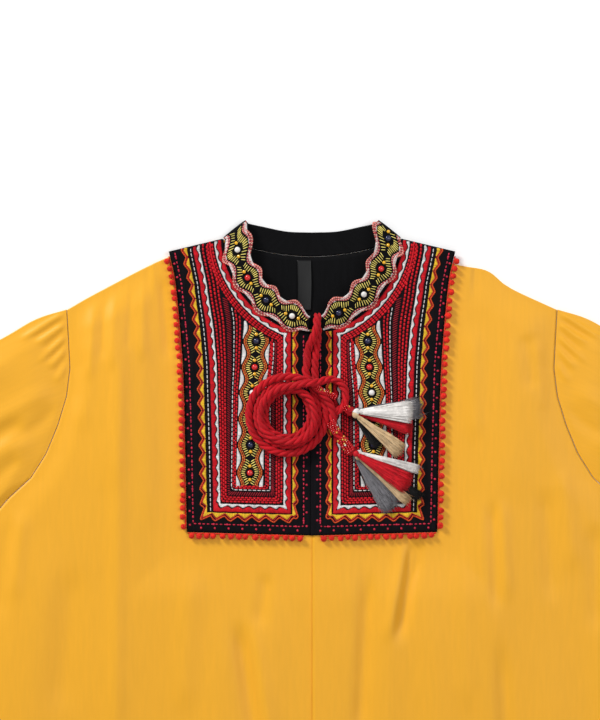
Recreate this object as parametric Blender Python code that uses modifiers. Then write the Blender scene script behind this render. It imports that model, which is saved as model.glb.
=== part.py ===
"""A loose mustard manteau laid flat, front up, with an embroidered bib, stand collar and tasselled tie.

Run with: blender --background --python part.py
Metres, +Z up. The garment lies on the plane z = 0 with its neck towards +Y.
Tables are in millimetres from the neck point: x across from the centre front, y up towards the neck.
The wearer's left is at +X.
"""

import math

import bmesh
import bpy
import numpy as np
from mathutils import Matrix, Vector

MM = 0.001

# Cloth and seams, in millimetres
CLOTH = 1.2
SEAM_GAP = 0.35
BIB_WALL = 1.5
COLLAR_WALL = 2.0
FACING_WALL = 1.0
LABEL_WALL = 0.6
PUFF = 3.0  # height of the front's underside over the floor, away from its edges

# Body, in millimetres
NECK_HALF_WIDTH = 88.0
NECK_DEPTH = 92.0
NECK_POWER = 1.1
CENTRE_OVERLAP = 28.0
HEM_CENTRE_Y = -1040.0
HEM_SIDE = (430.0, -1022.0)
UNDERARM = (322.0, -280.0)
SIDE_SEAM = (UNDERARM, (346.0, -480.0), (385.0, -740.0), (430.0, -1022.0))
ARMHOLE = (
    (245.0, -70.0),
    (243.0, -105.0),
    (242.0, -135.0),
    (247.0, -163.0),
    (262.0, -206.0),
    (281.0, -238.0),
    (302.0, -257.0),
    UNDERARM,
)
SHOULDER = {
    -1: ((91.0, -4.0), (145.0, -18.0), (213.0, -52.0), (245.0, -70.0)),
    1: ((91.0, -4.0), (142.0, -24.0), (175.0, -31.0), (198.0, -48.0), (245.0, -70.0)),
}
BACK_NECK_DROP = 17.0
NECK_COLUMNS = 10
SHOULDER_COLUMNS = 20
BACK_COLUMNS = (5, 7)  # along the half neck and along the shoulder
ARMHOLE_ROWS = 8
SIDE_ROWS = {"front": 12, "back": 5}

# Sleeves, in millimetres: the two edges of the sleeve as it lies, from the armhole to the cuff
SLEEVE_UPPER = (
    (245.0, -70.0),
    (276.0, -80.0),
    (313.0, -101.0),
    (400.0, -146.0),
    (478.0, -208.0),
    (530.0, -290.0),
    (597.0, -430.0),
)
SLEEVE_LOWER = (UNDERARM, (352.0, -304.0), (400.0, -362.0), (444.0, -424.0), (484.0, -483.0))
CAP_GATHERS = 6
GATHERED_SHARE = 0.42
GATHER_DEPTH = 1.5

# Collar, in millimetres
COLLAR_SEAM = (87.0, 91.0)  # half width and depth of its seam in front
COLLAR_RIM = (64.0, 72.0)  # half width and depth of its free edge in front
COLLAR_RIM_Y = 4.0
COLLAR_PEAK = (64.0, 16.0)
COLLAR_END_DEG = {-1: 2.3, 1: 8.8}  # the tie comes out between the two ends
COLLAR_STATIONS = {"front": 11, "fold": 5, "back": 6}
COLLAR_BACK_RIM = ((64.0, 16.0), (50.0, 13.0), (25.0, 8.0), (0.0, 7.0))
COLLAR_FRONT_Z = 5.4
COLLAR_RIM_RISE = 9.0

# Label, in millimetres: its two sides and its top and bottom
LABEL_X = (-15.0, -1.0)
LABEL_Y = (-20.5, -71.0)

# Bib, in millimetres
BIB_SIDE = ((143.0, -12.0), (136.0, -45.0), (129.0, -125.0), (126.5, -209.0), (125.0, -292.0))
BIB_BOTTOM_Y = -295.5
BIB_CENTRE_GAP = 0.5

# Pompoms, in millimetres
POMPOM_RADIUS = 2.7
POMPOM_PITCH = 8.0
POMPOM_REACH = 2.9
BRAID_RADIUS = 1.2

# Tie, in millimetres
CORD_RADIUS = 3.75
COIL_CENTRE = (-24.5, -175.0)
COIL_INNER = 19.0
COIL_OUTER = 42.5
COIL_HEIGHT = 15.0
KNOTS = {
    "loop": (21.4, -156.6, 4.4),
    "upper": (38.8, -171.6, 5.4),
    "lower": (39.5, -211.0, 5.4),
}  # x, y and radius
TASSEL_NECK_RADIUS = 0.8
TASSEL_HEAD_RADIUS = 2.0
TASSEL_HEAD_LENGTH = 7.0
TASSEL_LAYER = 4.4
LOCKS = 14
LOCK_SLOPE = 0.0115  # radius of a lock over its distance from the tassel's apex

# The empty that carries every piece puts the middle of the length, folds included, on y = 0
COLLAR_TOP_Y = 19.6
LENGTH_CENTRE_Y = (HEM_CENTRE_Y - SEAM_GAP + COLLAR_TOP_Y) / 2

FOLD_LIMIT = 2.2
# Folds of both fronts: start and end of the crest, half width and height
FOLD_COLUMNS = ("x0", "y0", "x1", "y1", "width", "height")
FOLDS = (
    (-193, -75, -203, -250, 17, 1.5),
    (-166, -80, -160, -290, 14, 1.4),
    (-222, -95, -232, -190, 13, 1.2),
    (-40, -345, -50, -660, 18, 2.1),
    (-84, -360, -104, -720, 20, 2.0),
    (-194, -350, -206, -860, 22, 1.8),
    (-262, -300, -300, -620, 21, 2.0),
    (-322, -560, -372, -1040, 26, 2.1),
    (-130, -700, -148, -1060, 24, 2.1),
    (80, -335, 70, -680, 16, 2.2),
    (118, -340, 140, -720, 20, 1.9),
    (172, -265, 188, -520, 17, 1.7),
    (206, -90, 200, -260, 18, 1.3),
    (236, -400, 262, -900, 24, 2.0),
    (286, -290, 330, -700, 22, 2.1),
    (344, -640, 384, -1050, 26, 2.1),
    (96, -740, 104, -1070, 24, 2.1),
)

# Folds of each sleeve: crest from and to, as shares across (0 outer edge) and along (0 armhole)
SLEEVE_FOLD_COLUMNS = ("across0", "along0", "across1", "along1", "width", "height")
SLEEVE_FOLDS = (
    (0.92, 0.04, 0.34, 0.30, 0.10, 2.0),
    (0.70, 0.03, 0.16, 0.42, 0.09, 1.6),
    (0.80, 0.36, 0.40, 0.62, 0.11, 1.8),
    (0.24, 0.50, 0.62, 0.84, 0.10, 1.7),
    (0.78, 0.70, 0.46, 1.02, 0.10, 1.5),
)

# Colours of the finishes: red, green, blue, roughness
FINISHES = {
    "satin": (0.86, 0.49, 0.05, 0.42),
    "black_cloth": (0.012, 0.011, 0.013, 0.75),
    "black_satin": (0.02, 0.02, 0.022, 0.35),
    "red_yarn": (0.66, 0.012, 0.02, 0.8),
    "white_yarn": (0.86, 0.83, 0.80, 0.75),
    "beige_yarn": (0.66, 0.50, 0.33, 0.8),
    "grey_yarn": (0.21, 0.21, 0.23, 0.8),
    "black_yarn": (0.012, 0.012, 0.013, 0.8),
}

# Tassels: direction and half spread in degrees, length, layer (0 rests on the bib) and bare neck
TASSEL_COLUMNS = ("knot", "yarn", "direction", "spread", "length", "layer", "neck")
TASSELS = (
    ("upper", "grey", 3.0, 10.0, 74.0, 0, 5.0),
    ("upper", "black", -50.0, 8.0, 46.0, 0, 4.0),
    ("upper", "red", -17.0, 4.5, 64.0, 1, 4.0),
    ("upper", "white", 0.0, 11.0, 62.0, 2, 4.0),
    ("upper", "beige", -38.0, 7.0, 66.0, 2, 4.5),
    ("lower", "grey", -55.0, 10.0, 74.0, 0, 3.0),
    ("lower", "white", -15.5, 4.0, 70.0, 0, 4.0),
    ("lower", "black", -34.0, 3.5, 86.0, 0, 13.0),
    ("lower", "beige", -41.5, 3.5, 77.0, 1, 5.0),
    ("lower", "red", -30.0, 10.0, 68.0, 2, 3.0),
)


def smooth(share):
    """Runs from 0 to 1 with level ends as share runs from 0 to 1."""
    s = min(1.0, max(0.0, share))
    return s * s * (3 - 2 * s)


def along(points, share):
    """The point at a share of the length of a smooth curve through points (Catmull-Rom)."""
    p = np.array(points, float)
    steps = np.linalg.norm(np.diff(p, axis=0), axis=1)
    at = np.concatenate([[0], np.cumsum(steps)])
    s = min(1.0, max(0.0, share)) * at[-1]
    i = min(int(np.searchsorted(at, s, side="right")) - 1, len(p) - 2)
    t = (s - at[i]) / steps[i]
    before = p[i - 1] if i > 0 else 2 * p[0] - p[1]
    after = p[i + 2] if i + 2 < len(p) else 2 * p[-1] - p[-2]
    a, b = p[i], p[i + 1]
    bend = 2 * before - 5 * a + 4 * b - after
    twist = 3 * a - before - 3 * b + after
    return 0.5 * (2 * a + (b - before) * t + bend * t**2 + twist * t**3)


def armhole(share):
    """A point of the armhole, straight between its rows, so that the body and the sleeve match."""
    row = min(share, 0.99999) * ARMHOLE_ROWS
    i = int(row)
    here, ahead = along(ARMHOLE, i / ARMHOLE_ROWS), along(ARMHOLE, (i + 1) / ARMHOLE_ROWS)
    return here + (ahead - here) * (row - i)


def ridge(x, y, fold):
    """Height at (x, y) of one fold: a bell across its crest line, fading out past its two ends."""
    x0, y0, x1, y1, width, height = fold
    run = math.hypot(x1 - x0, y1 - y0)
    t = ((x - x0) * (x1 - x0) + (y - y0) * (y1 - y0)) / run**2
    off = ((x - x0) * (y1 - y0) - (y - y0) * (x1 - x0)) / run
    fade = smooth(t / 0.25 + 0.25) * smooth((1 - t) / 0.25 + 0.25)
    return height * math.exp(-((off / width) ** 2)) * fade


def bib_half_width(y):
    """Distance from the centre front to the bib's outer edge at height y."""
    ys = [-p[1] for p in BIB_SIDE]
    xs = [p[0] for p in BIB_SIDE]
    return float(np.interp(-y, ys, xs))


def bib_clearance(x, y):
    """How far (x, y) lies outside the bib, in millimetres; 0 under it."""
    return max(abs(x) - bib_half_width(y), BIB_BOTTOM_Y - y, 0.0)


def underlap(x):
    """Extra height of the upper front where it lies over the lower one's button stand."""
    return (CLOTH + SEAM_GAP) * (1 - smooth((x - CENTRE_OVERLAP - 3) / 26))


def front_underside(side, x, y, edge):
    """Height of a front's lower face; edge is 0 on its seams and 1 well inside."""
    settled = CLOTH + SEAM_GAP
    rise = max(edge, 1 - smooth(bib_clearance(x, y) / 18))
    base = settled + (PUFF - settled) * rise
    free = smooth((bib_clearance(x, y) - 13) / 30)
    folds = sum(ridge(x, y, fold) for fold in FOLDS)
    lift = underlap(x) if side > 0 else 0.0
    return base + min(folds, FOLD_LIMIT) * free * (0.25 + 0.75 * edge) + lift


def neck_curve(half_width, depth, share):
    """A quarter of the round neckline, from the centre front to the neck point."""
    angle = share * math.pi / 2
    across, down = max(0.0, math.sin(angle)), max(0.0, math.cos(angle))
    return np.array([half_width * across**NECK_POWER, -depth * down**NECK_POWER])


def patch(top, bottom, left, right, u, v):
    """A four-sided patch blended from its edges: v runs down, u from left to right."""
    corners = (
        (1 - u) * (1 - v) * top(0.0)
        + u * (1 - v) * top(1.0)
        + (1 - u) * v * bottom(0.0)
        + u * v * bottom(1.0)
    )
    return (1 - v) * top(u) + v * bottom(u) + (1 - u) * left(v) + u * right(v) - corners


def material(finish):
    """The Principled material of one finish, made once."""
    found = bpy.data.materials.get(finish)
    if found:
        return found
    red, green, blue, roughness = FINISHES[finish]
    made = bpy.data.materials.new(finish)
    made.use_nodes = True
    shader = made.node_tree.nodes["Principled BSDF"]
    shader.inputs["Base Color"].default_value = (red, green, blue, 1)
    shader.inputs["Roughness"].default_value = roughness
    shader.inputs["Metallic"].default_value = 0.0
    return made


def add_object(name, mesh, finish, garment):
    """Puts a mesh in the garment's collection under its empty, with its finish."""
    made = bpy.data.objects.new(name, mesh)
    garment["collection"].objects.link(made)
    made.parent = garment["empty"]
    made.data.materials.append(material(finish))
    return made


def cloth_panel(name, point, columns, rows, wall, finish, garment, offset=1.0):
    """A cloth wall: a grid laid by point(u, v) and thickened away from its lower face."""
    shape = bmesh.new()
    bmesh.ops.create_grid(shape, x_segments=columns, y_segments=rows, size=0.5)
    for vertex in shape.verts:
        vertex.co = Vector(point(vertex.co.x + 0.5, 0.5 - vertex.co.y)) * MM
    mesh = bpy.data.meshes.new(name)
    shape.to_mesh(mesh)
    shape.free()
    made = add_object(name, mesh, finish, garment)
    wall_maker = made.modifiers.new("wall", "SOLIDIFY")
    wall_maker.thickness = wall * MM
    wall_maker.offset = offset
    return made


def loft_wall(name, outer_rings, inner_rings, finish, garment):
    """A tube with a wall, from matching closed rings of points outside and inside."""
    shape = bmesh.new()
    outer = [[shape.verts.new(Vector(p) * MM) for p in ring] for ring in outer_rings]
    inner = [[shape.verts.new(Vector(p) * MM) for p in ring] for ring in inner_rings]
    count = len(outer[0])
    for i in range(count):
        j = (i + 1) % count
        for a, b in zip(outer, outer[1:]):
            shape.faces.new((a[i], a[j], b[j], b[i]))
        for a, b in zip(inner, inner[1:]):
            shape.faces.new((a[j], a[i], b[i], b[j]))
        shape.faces.new((outer[0][j], outer[0][i], inner[0][i], inner[0][j]))
        shape.faces.new((outer[-1][i], outer[-1][j], inner[-1][j], inner[-1][i]))
    bmesh.ops.recalc_face_normals(shape, faces=shape.faces)
    mesh = bpy.data.meshes.new(name)
    shape.to_mesh(mesh)
    shape.free()
    return add_object(name, mesh, finish, garment)


def body_plan(side, neck, neck_columns, shoulder_columns, side_rows):
    """Half a body piece in plan: s runs out from the centre, v down from the neck and shoulder."""
    neck_share = neck_columns / (neck_columns + shoulder_columns)
    arm_share = ARMHOLE_ROWS / (ARMHOLE_ROWS + side_rows)
    foot = np.array([0.0, HEM_CENTRE_Y])

    def top(s):
        if s <= neck_share:
            return neck(s / neck_share)
        return along(SHOULDER[side], (s - neck_share) / (1 - neck_share))

    def outer(v):
        if v <= arm_share:
            return armhole(v / arm_share)
        return along(SIDE_SEAM, (v - arm_share) / (1 - arm_share))

    def centre(v):
        return neck(0) + (foot - neck(0)) * v

    def hem(s):
        return np.array([s * HEM_SIDE[0], HEM_CENTRE_Y + (HEM_SIDE[1] - HEM_CENTRE_Y) * s**2])

    return lambda s, v: patch(top, hem, centre, outer, s, v)


def front_point(side):
    """The map of one front: u across it, v from the top to the hem."""
    neck = lambda share: neck_curve(NECK_HALF_WIDTH, NECK_DEPTH, share)
    plan = body_plan(side, neck, NECK_COLUMNS, SHOULDER_COLUMNS, SIDE_ROWS["front"])
    lap = CENTRE_OVERLAP if side < 0 else SEAM_GAP

    def point(u, v):
        s = 1 - u if side < 0 else u
        x, y = plan(s, v)
        x = x * side - SEAM_GAP * side * s + lap * max(0.0, 1 - x / 60) ** 2
        # Every seam but the neck and the centre front is pressed down onto the back.
        shoulder = 1 if abs(x) < 160 else smooth(v / 0.05)
        edge = smooth((1 - s) / 0.12) * smooth((1 - v) / 0.05) * shoulder
        return x, y - SEAM_GAP, front_underside(side, x, y, edge)

    return point


def back_neck(share):
    """Half of the back neckline, from its middle to the neck point."""
    turn = share * math.pi / 2
    x = NECK_HALF_WIDTH * math.sin(turn)
    return np.array([x, -BACK_NECK_DROP * math.cos(turn) ** 2])


def back_point(u, v):
    """The map of the back, flat on the floor: u from side to side, v from the top to the hem."""
    side = -1 if u < 0.5 else 1
    share = abs(2 * u - 1)
    x, y = body_plan(side, back_neck, *BACK_COLUMNS, SIDE_ROWS["back"])(share, v)
    return side * (x - SEAM_GAP * share), y - SEAM_GAP, 0.0


def sleeve_top(across, along_sleeve):
    """Height of a sleeve's upper face, with the gathers of its cap and its folds."""
    t, k = across, along_sleeve
    edge = smooth(min(t, 1 - t) / 0.12)
    swell = 1.4 * edge * smooth(k / 0.12)
    pleats = 0.5 - 0.5 * math.cos(2 * math.pi * CAP_GATHERS * t / GATHERED_SHARE)
    gather = GATHER_DEPTH * pleats * (t < GATHERED_SHARE)
    gather *= smooth(k / 0.02) * (1 - smooth((k - 0.03) / 0.17))
    folds = sum(ridge(t, k, fold) for fold in SLEEVE_FOLDS) * edge * smooth(k / 0.08)
    return 2 * CLOTH + SEAM_GAP + swell + max(gather, min(folds, FOLD_LIMIT))


def sleeve_rings(side):
    """Outer and inner rings of a flattened sleeve, from the armhole to the cuff."""
    pleated = [GATHERED_SHARE * i / (2 * CAP_GATHERS) for i in range(2 * CAP_GATHERS + 1)]
    across = pleated + [0.5, 0.58, 0.66, 0.74, 0.83, 0.92, 1.0]
    under = [1.0, 0.875, 0.75, 0.5, 0.25, 0.0]
    stations = [0.0, 0.03, 0.08, 0.15, 0.23, 0.33, 0.45, 0.58, 0.72, 0.86, 1.0]
    outer_rings, inner_rings = [], []
    for k in stations:
        upper, lower = along(SLEEVE_UPPER, k), along(SLEEVE_LOWER, k)
        inset = CLOTH / float(np.linalg.norm(lower - upper))
        bow = 1 - smooth(k / 0.45)

        def place(t, height):
            straight = upper + (lower - upper) * t
            bent = armhole(t) + (upper - ARMHOLE[0]) * (1 - t) + (lower - UNDERARM) * t
            x, y = straight + (bent - straight) * bow
            return side * (x + SEAM_GAP), y, height

        shrink = lambda t: inset + (1 - 2 * inset) * t
        top = [(t, sleeve_top(t, k)) for t in across]
        outer_rings.append([place(t, z) for t, z in top] + [place(t, 0.0) for t in under])
        inner = [place(shrink(t), z - CLOTH) for t, z in top]
        inner_rings.append(inner + [place(shrink(t), CLOTH) for t in under])
    return outer_rings, inner_rings


def collar_half(side):
    """Seam and free edges at each station of half the collar, from its front end to its back."""
    end = COLLAR_END_DEG[side] / 90
    count = COLLAR_STATIONS
    half = []
    for i in range(count["front"] + 1):
        share = end + (1 - end) * i / count["front"]
        seam = neck_curve(*COLLAR_SEAM, share)
        rim = neck_curve(*COLLAR_RIM, share) + np.array([0, COLLAR_RIM_Y])
        rim = rim + (np.array(COLLAR_PEAK) - rim) * smooth((share - 0.75) / 0.25)
        rounding = 1 - smooth((share - end) / 0.1)
        rim = rim + (seam - rim) * 0.34 * rounding
        rise = COLLAR_RIM_RISE * (1 - 0.55 * smooth((share - 0.55) / 0.45)) * (1 - 0.34 * rounding)
        half.append(((*seam, COLLAR_FRONT_Z), (*rim, COLLAR_FRONT_Z + rise)))
    corners = [np.array(corner) for corner in half[-1]]
    line = (corners[1] - corners[0])[:2]
    outward = np.array([-line[1], line[0]]) / np.linalg.norm(line)
    outward = outward * math.copysign(1, outward[0])
    back_z = COLLAR_WALL / 2
    for i in range(1, count["fold"]):
        turn = math.pi * i / count["fold"]
        radii = [(corner[2] - back_z) / 2 for corner in corners]
        plans = [c[:2] + outward * r * math.sin(turn) * 0.8 for c, r in zip(corners, radii)]
        heights = [back_z + r * (1 + math.cos(turn)) for r in radii]
        half.append(tuple((*plan, height) for plan, height in zip(plans, heights)))
    for i in range(count["back"] + 1):
        turn = (1 - i / count["back"]) * math.pi / 2
        seam = (COLLAR_SEAM[0] * math.sin(turn), 0.2 - BACK_NECK_DROP * math.cos(turn) ** 2)
        half.append(((*seam, back_z), (*along(COLLAR_BACK_RIM, i / count["back"]), back_z)))
    return [tuple((side * x, y, z) for x, y, z in ends) for ends in half]


def collar_stations():
    """The collar's stations from the wearer's right front round the back to the left front."""
    return collar_half(-1) + collar_half(1)[-2::-1]


def collar_point(stations):
    """The map of the collar band: u along it, v from its seam up to its free edge."""

    def point(u, v):
        i = round(u * (len(stations) - 1))
        seam, rim = (np.array(end) for end in stations[i])
        return tuple(seam + (rim - seam) * v)

    return point


def facing_point(u, v):
    """The map of the black back facing that lines the neck: u from side to side, v down."""
    turn = (u - 0.5) * math.pi
    x = (NECK_HALF_WIDTH - 1.0) * math.sin(turn)
    top = -BACK_NECK_DROP * math.cos(turn) ** 2 - 3.0
    bottom = -128.0 * math.cos(turn * 0.72)
    return x * (1 + 0.1 * v), top + (bottom - top) * v, CLOTH + SEAM_GAP


def label_point(u, v):
    """The map of the plain neck label, hanging down from the collar seam."""
    x, y = LABEL_X[0] + (LABEL_X[1] - LABEL_X[0]) * u, LABEL_Y[0] + (LABEL_Y[1] - LABEL_Y[0]) * v
    return x, y, CLOTH + FACING_WALL + 2 * SEAM_GAP + 0.8 * math.sin(math.pi * v)


def bib_top(side, x):
    """Height of the face of a front under its bib half."""
    return PUFF + CLOTH + (underlap(x) if side > 0 else 0.0)


def bib_point(side):
    """The map of one bib half: u from the centre front outwards, v from the top down."""
    neck_share = 9 / 14
    corner = np.array(BIB_SIDE[0])
    neck_end = np.array([NECK_HALF_WIDTH, 1.0])

    def top(u):
        if u <= neck_share:
            return neck_curve(NECK_HALF_WIDTH, NECK_DEPTH, u / neck_share) + [0, u / neck_share]
        return neck_end + (corner - neck_end) * (u - neck_share) / (1 - neck_share)

    def outer(v):
        return along(BIB_SIDE, v)

    def centre(v):
        return np.array([0.0, -NECK_DEPTH + v * (BIB_BOTTOM_Y + NECK_DEPTH)])

    def bottom(u):
        return np.array([0, BIB_BOTTOM_Y]) + (np.array(BIB_SIDE[-1]) - [0, BIB_BOTTOM_Y]) * u

    def point(u, v):
        u = 1 - u if side < 0 else u
        x, y = patch(top, bottom, centre, outer, u, v)
        x = side * (x + BIB_CENTRE_GAP * (1 - u))
        return x, y, bib_top(side, x) + SEAM_GAP

    return point


def trim_routes():
    """The pompom braids in plan: down the left bib's side, and in along its bottom."""
    out = 1.5 * SEAM_GAP + BRAID_RADIUS
    corner = BIB_SIDE[-1]
    beside = [along(BIB_SIDE, share) + [out, 0] for share in np.linspace(0.02, 0.99, 12)]
    rise = (corner[1] - BIB_BOTTOM_Y) / corner[0]
    below = [np.array([x, BIB_BOTTOM_Y - out + rise * x]) for x in (124.0, 95.0, 65.0, 35.0, 8.0)]
    return {"side": beside, "bottom": below}


def tube(name, points, radius, finish, garment, resolution=2):
    """A round cord along points, as a poly curve with filled ends."""
    curve = bpy.data.curves.new(name, "CURVE")
    curve.dimensions = "3D"
    curve.bevel_depth = radius * MM
    curve.bevel_resolution = resolution
    curve.use_fill_caps = True
    spline = curve.splines.new("POLY")
    spline.points.add(len(points) - 1)
    for target, p in zip(spline.points, points):
        target.co = (*(Vector(p) * MM), 1)
    return add_object(name, curve, finish, garment)


def to_mesh_object(made, garment):
    """Replaces a curve object by a mesh object of the same name with its caps welded."""
    name, finish = made.name, made.data.materials[0].name
    graph = bpy.context.evaluated_depsgraph_get()
    mesh = bpy.data.meshes.new_from_object(made.evaluated_get(graph))
    world = made.matrix_local.copy()
    bpy.data.objects.remove(made)
    shape = bmesh.new()
    shape.from_mesh(mesh)
    bmesh.ops.remove_doubles(shape, verts=shape.verts, dist=1e-6)
    shape.to_mesh(mesh)
    shape.free()
    mesh.name = name
    mesh.materials.clear()
    mesh.materials.append(material(finish))
    solid = bpy.data.objects.new(name, mesh)
    garment["collection"].objects.link(solid)
    solid.parent = garment["empty"]
    solid.matrix_local = world
    return solid


def helper(name, shape, garment):
    """A mesh that only a Boolean reads."""
    mesh = bpy.data.meshes.new(name)
    shape.to_mesh(mesh)
    shape.free()
    made = bpy.data.objects.new(name, mesh)
    garment["helpers"].objects.link(made)
    made.parent = garment["empty"]
    made.hide_render = True
    made.display_type = "WIRE"
    return made


def join(made, other, self_crossing=False):
    """Unites a solid with a helper."""
    union = made.modifiers.new("join", "BOOLEAN")
    union.operation = "UNION"
    union.solver = "EXACT"
    union.use_self = self_crossing
    union.object = other


def pompom_trim(side, edge, plan, garment):
    """The braid along one edge of a bib half, with its pompoms fused on."""
    name = "pompom_" + edge + ("_left" if side > 0 else "_right")
    base = lambda x: bib_top(side, side * x) + SEAM_GAP
    route = [(side * x, y, base(x) + BRAID_RADIUS) for x, y in plan]
    braid = tube(name, route, BRAID_RADIUS, "red_yarn", garment, resolution=0)
    braid = to_mesh_object(braid, garment)
    run = float(np.linalg.norm(np.diff(np.array(plan), axis=0), axis=1).sum())
    count = round(run / POMPOM_PITCH)
    balls = bmesh.new()
    for i in range(count):
        share = (i + 0.5) / count
        here, ahead = along(plan, share), along(plan, min(1, share + 0.01))
        way = (ahead - here) / np.linalg.norm(ahead - here)
        x, y = here + np.array([-way[1], way[0]]) * POMPOM_REACH
        matrix = Matrix.Translation(Vector((side * x, y, base(x) + POMPOM_RADIUS)) * MM)
        bmesh.ops.create_uvsphere(
            balls, u_segments=4, v_segments=3, radius=POMPOM_RADIUS * MM, matrix=matrix
        )
    join(braid, helper(name + "_balls", balls, garment))


def coil(garment):
    """The outer shape of the wound tie: a ring with rounded edges."""
    half = (COIL_OUTER - COIL_INNER) / 2
    middle = (COIL_OUTER + COIL_INNER) / 2
    shape = bmesh.new()
    profile = []
    for i in range(8):
        a = -2 * math.pi * (i + 0.5) / 8
        reach = (abs(math.cos(a)) ** 0.7) * math.copysign(1, math.cos(a))
        height = (abs(math.sin(a)) ** 0.7) * math.copysign(1, math.sin(a))
        at = (middle + half * reach, 0, height * COIL_HEIGHT / 2)
        profile.append(shape.verts.new(Vector(at) * MM))
    for a, b in zip(profile, profile[1:] + profile[:1]):
        shape.edges.new((a, b))
    mesh = bpy.data.meshes.new("tie_coil")
    shape.to_mesh(mesh)
    shape.free()
    made = add_object("tie_coil", mesh, "red_yarn", garment)
    made.location = Vector((*COIL_CENTRE, coil_base() + COIL_HEIGHT / 2)) * MM
    turn = made.modifiers.new("turn", "SCREW")
    turn.steps = turn.render_steps = 26
    turn.use_merge_vertices = True
    turn.merge_threshold = 0.00001
    turn.use_normal_calculate = True


def coil_base():
    """Height at which the tie lies: on the bib, over the fronts' overlap."""
    return PUFF + 2 * CLOTH + 3 * SEAM_GAP + BIB_WALL


def cord_routes():
    """Centre lines of the stretches of tie that aren't wound."""
    low = coil_base() + CORD_RADIUS
    return {
        "tie_drop_right": (
            (5.5, -74.0, low + 2.0),
            (5.0, -80.0, low + 5.5),
            (4.4, -88.0, low + 8.0),
            (1.0, -98.0, low + 6.6),
            (-3.9, -110.0, low + 1.5),
            (-5.0, -123.0, low + 0.5),
            (-6.3, -134.0, low + 3.0),
        ),
        "tie_drop_left": (
            (5.8, -86.5, low),
            (5.5, -98.0, low),
            (4.1, -110.0, low),
            (2.9, -123.0, low),
            (1.6, -138.3, low + 3.0),
        ),
        "tie_loop": (
            (10.2, -141.6, low + 2.0),
            (18.0, -139.6, low + 1.0),
            (27.5, -143.4, low),
            (33.0, -152.0, low),
            (32.8, -162.0, low),
            (28.0, -169.6, low),
            (21.0, -172.6, low + 1.0),
        ),
        "tie_end_lower": (
            (21.2, -187.0, low + 1.0),
            (26.0, -194.5, low + 0.5),
            (30.5, -200.8, low),
            (34.6, -206.2, low + 1.2),
        ),
    }


def cords(garment):
    """The tie's free stretches, as tubes along a smooth curve through their points."""
    for name, points in cord_routes().items():
        steps = np.linspace(0, 1, 3 * len(points) - 2)
        tube(name, [along(points, s) for s in steps], CORD_RADIUS, "red_yarn", garment)


def knots(garment):
    """The wrapped knots: one in the loop, and two that the tassels hang from."""
    for name, (x, y, radius) in KNOTS.items():
        shape = bmesh.new()
        bmesh.ops.create_uvsphere(shape, u_segments=10, v_segments=7, radius=radius * MM)
        mesh = bpy.data.meshes.new("knot_" + name)
        shape.to_mesh(mesh)
        shape.free()
        made = add_object("knot_" + name, mesh, "red_yarn", garment)
        made.location = Vector((x, y, coil_base() + radius)) * MM


def prism(shape, start, end, radius_start, radius_end, sides):
    """Adds a closed tapered prism between two points."""
    start, end = Vector(start) * MM, Vector(end) * MM
    way = end - start
    turn = way.to_track_quat("Z", "Y").to_matrix().to_4x4()
    bmesh.ops.create_cone(
        shape,
        cap_ends=True,
        segments=sides,
        radius1=radius_start * MM,
        radius2=radius_end * MM,
        depth=way.length,
        matrix=Matrix.Translation((start + end) / 2) @ turn,
    )


def tassel(row, garment):
    """One tassel: a bare neck, a wrapped head and two rows of locks that fan out from it."""
    facts = dict(zip(TASSEL_COLUMNS, row))
    name = "tassel_" + facts["knot"] + "_" + facts["yarn"]
    x, y, radius = KNOTS[facts["knot"]]
    knot = np.array([x, y])
    angle = math.radians(facts["direction"])
    way = np.array([math.cos(angle), math.sin(angle)])
    z = coil_base() + TASSEL_HEAD_RADIUS + SEAM_GAP + TASSEL_LAYER * facts["layer"]
    off = z - coil_base() - radius
    clear = SEAM_GAP + TASSEL_NECK_RADIUS * min(1.0, abs(off) / radius)
    near = math.sqrt((radius + clear) ** 2 - off**2)
    head = near + facts["neck"]

    def at(distance):
        return (*(knot + way * distance), z)

    body = bmesh.new()
    end = head + TASSEL_HEAD_LENGTH
    prism(body, at(head), at(end), TASSEL_HEAD_RADIUS * 0.8, TASSEL_HEAD_RADIUS, 6)
    mesh = bpy.data.meshes.new(name)
    body.to_mesh(mesh)
    body.free()
    made = add_object(name, mesh, facts["yarn"] + "_yarn", garment)

    locks = bmesh.new()
    prism(locks, at(near), at(head + 2.0), TASSEL_NECK_RADIUS, TASSEL_NECK_RADIUS, 4)
    apex = knot + way * (head - 2.0)
    reach = facts["length"] - head + 2.0
    row_of_locks = LOCKS // 2
    pitch = 2 * math.radians(facts["spread"]) / (row_of_locks - 0.5)
    slope = min(0.4 * pitch, LOCK_SLOPE)
    for i in range(LOCKS):
        turn = angle + (i - (LOCKS - 1) / 2) * pitch / 2
        long = reach * (0.97 + 0.03 * math.cos(2.4 * i))
        tilt = slope * 1.1 * (-1 if i % 2 else 1)
        flat = np.array([math.cos(turn), math.sin(turn)])
        start = (*(apex + flat * TASSEL_HEAD_LENGTH), z + TASSEL_HEAD_LENGTH * tilt)
        tip = (*(apex + flat * long), z + long * tilt)
        prism(locks, start, tip, TASSEL_HEAD_LENGTH * slope, long * slope, 3)
    join(made, helper(name + "_locks", locks, garment), self_crossing=True)


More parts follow.
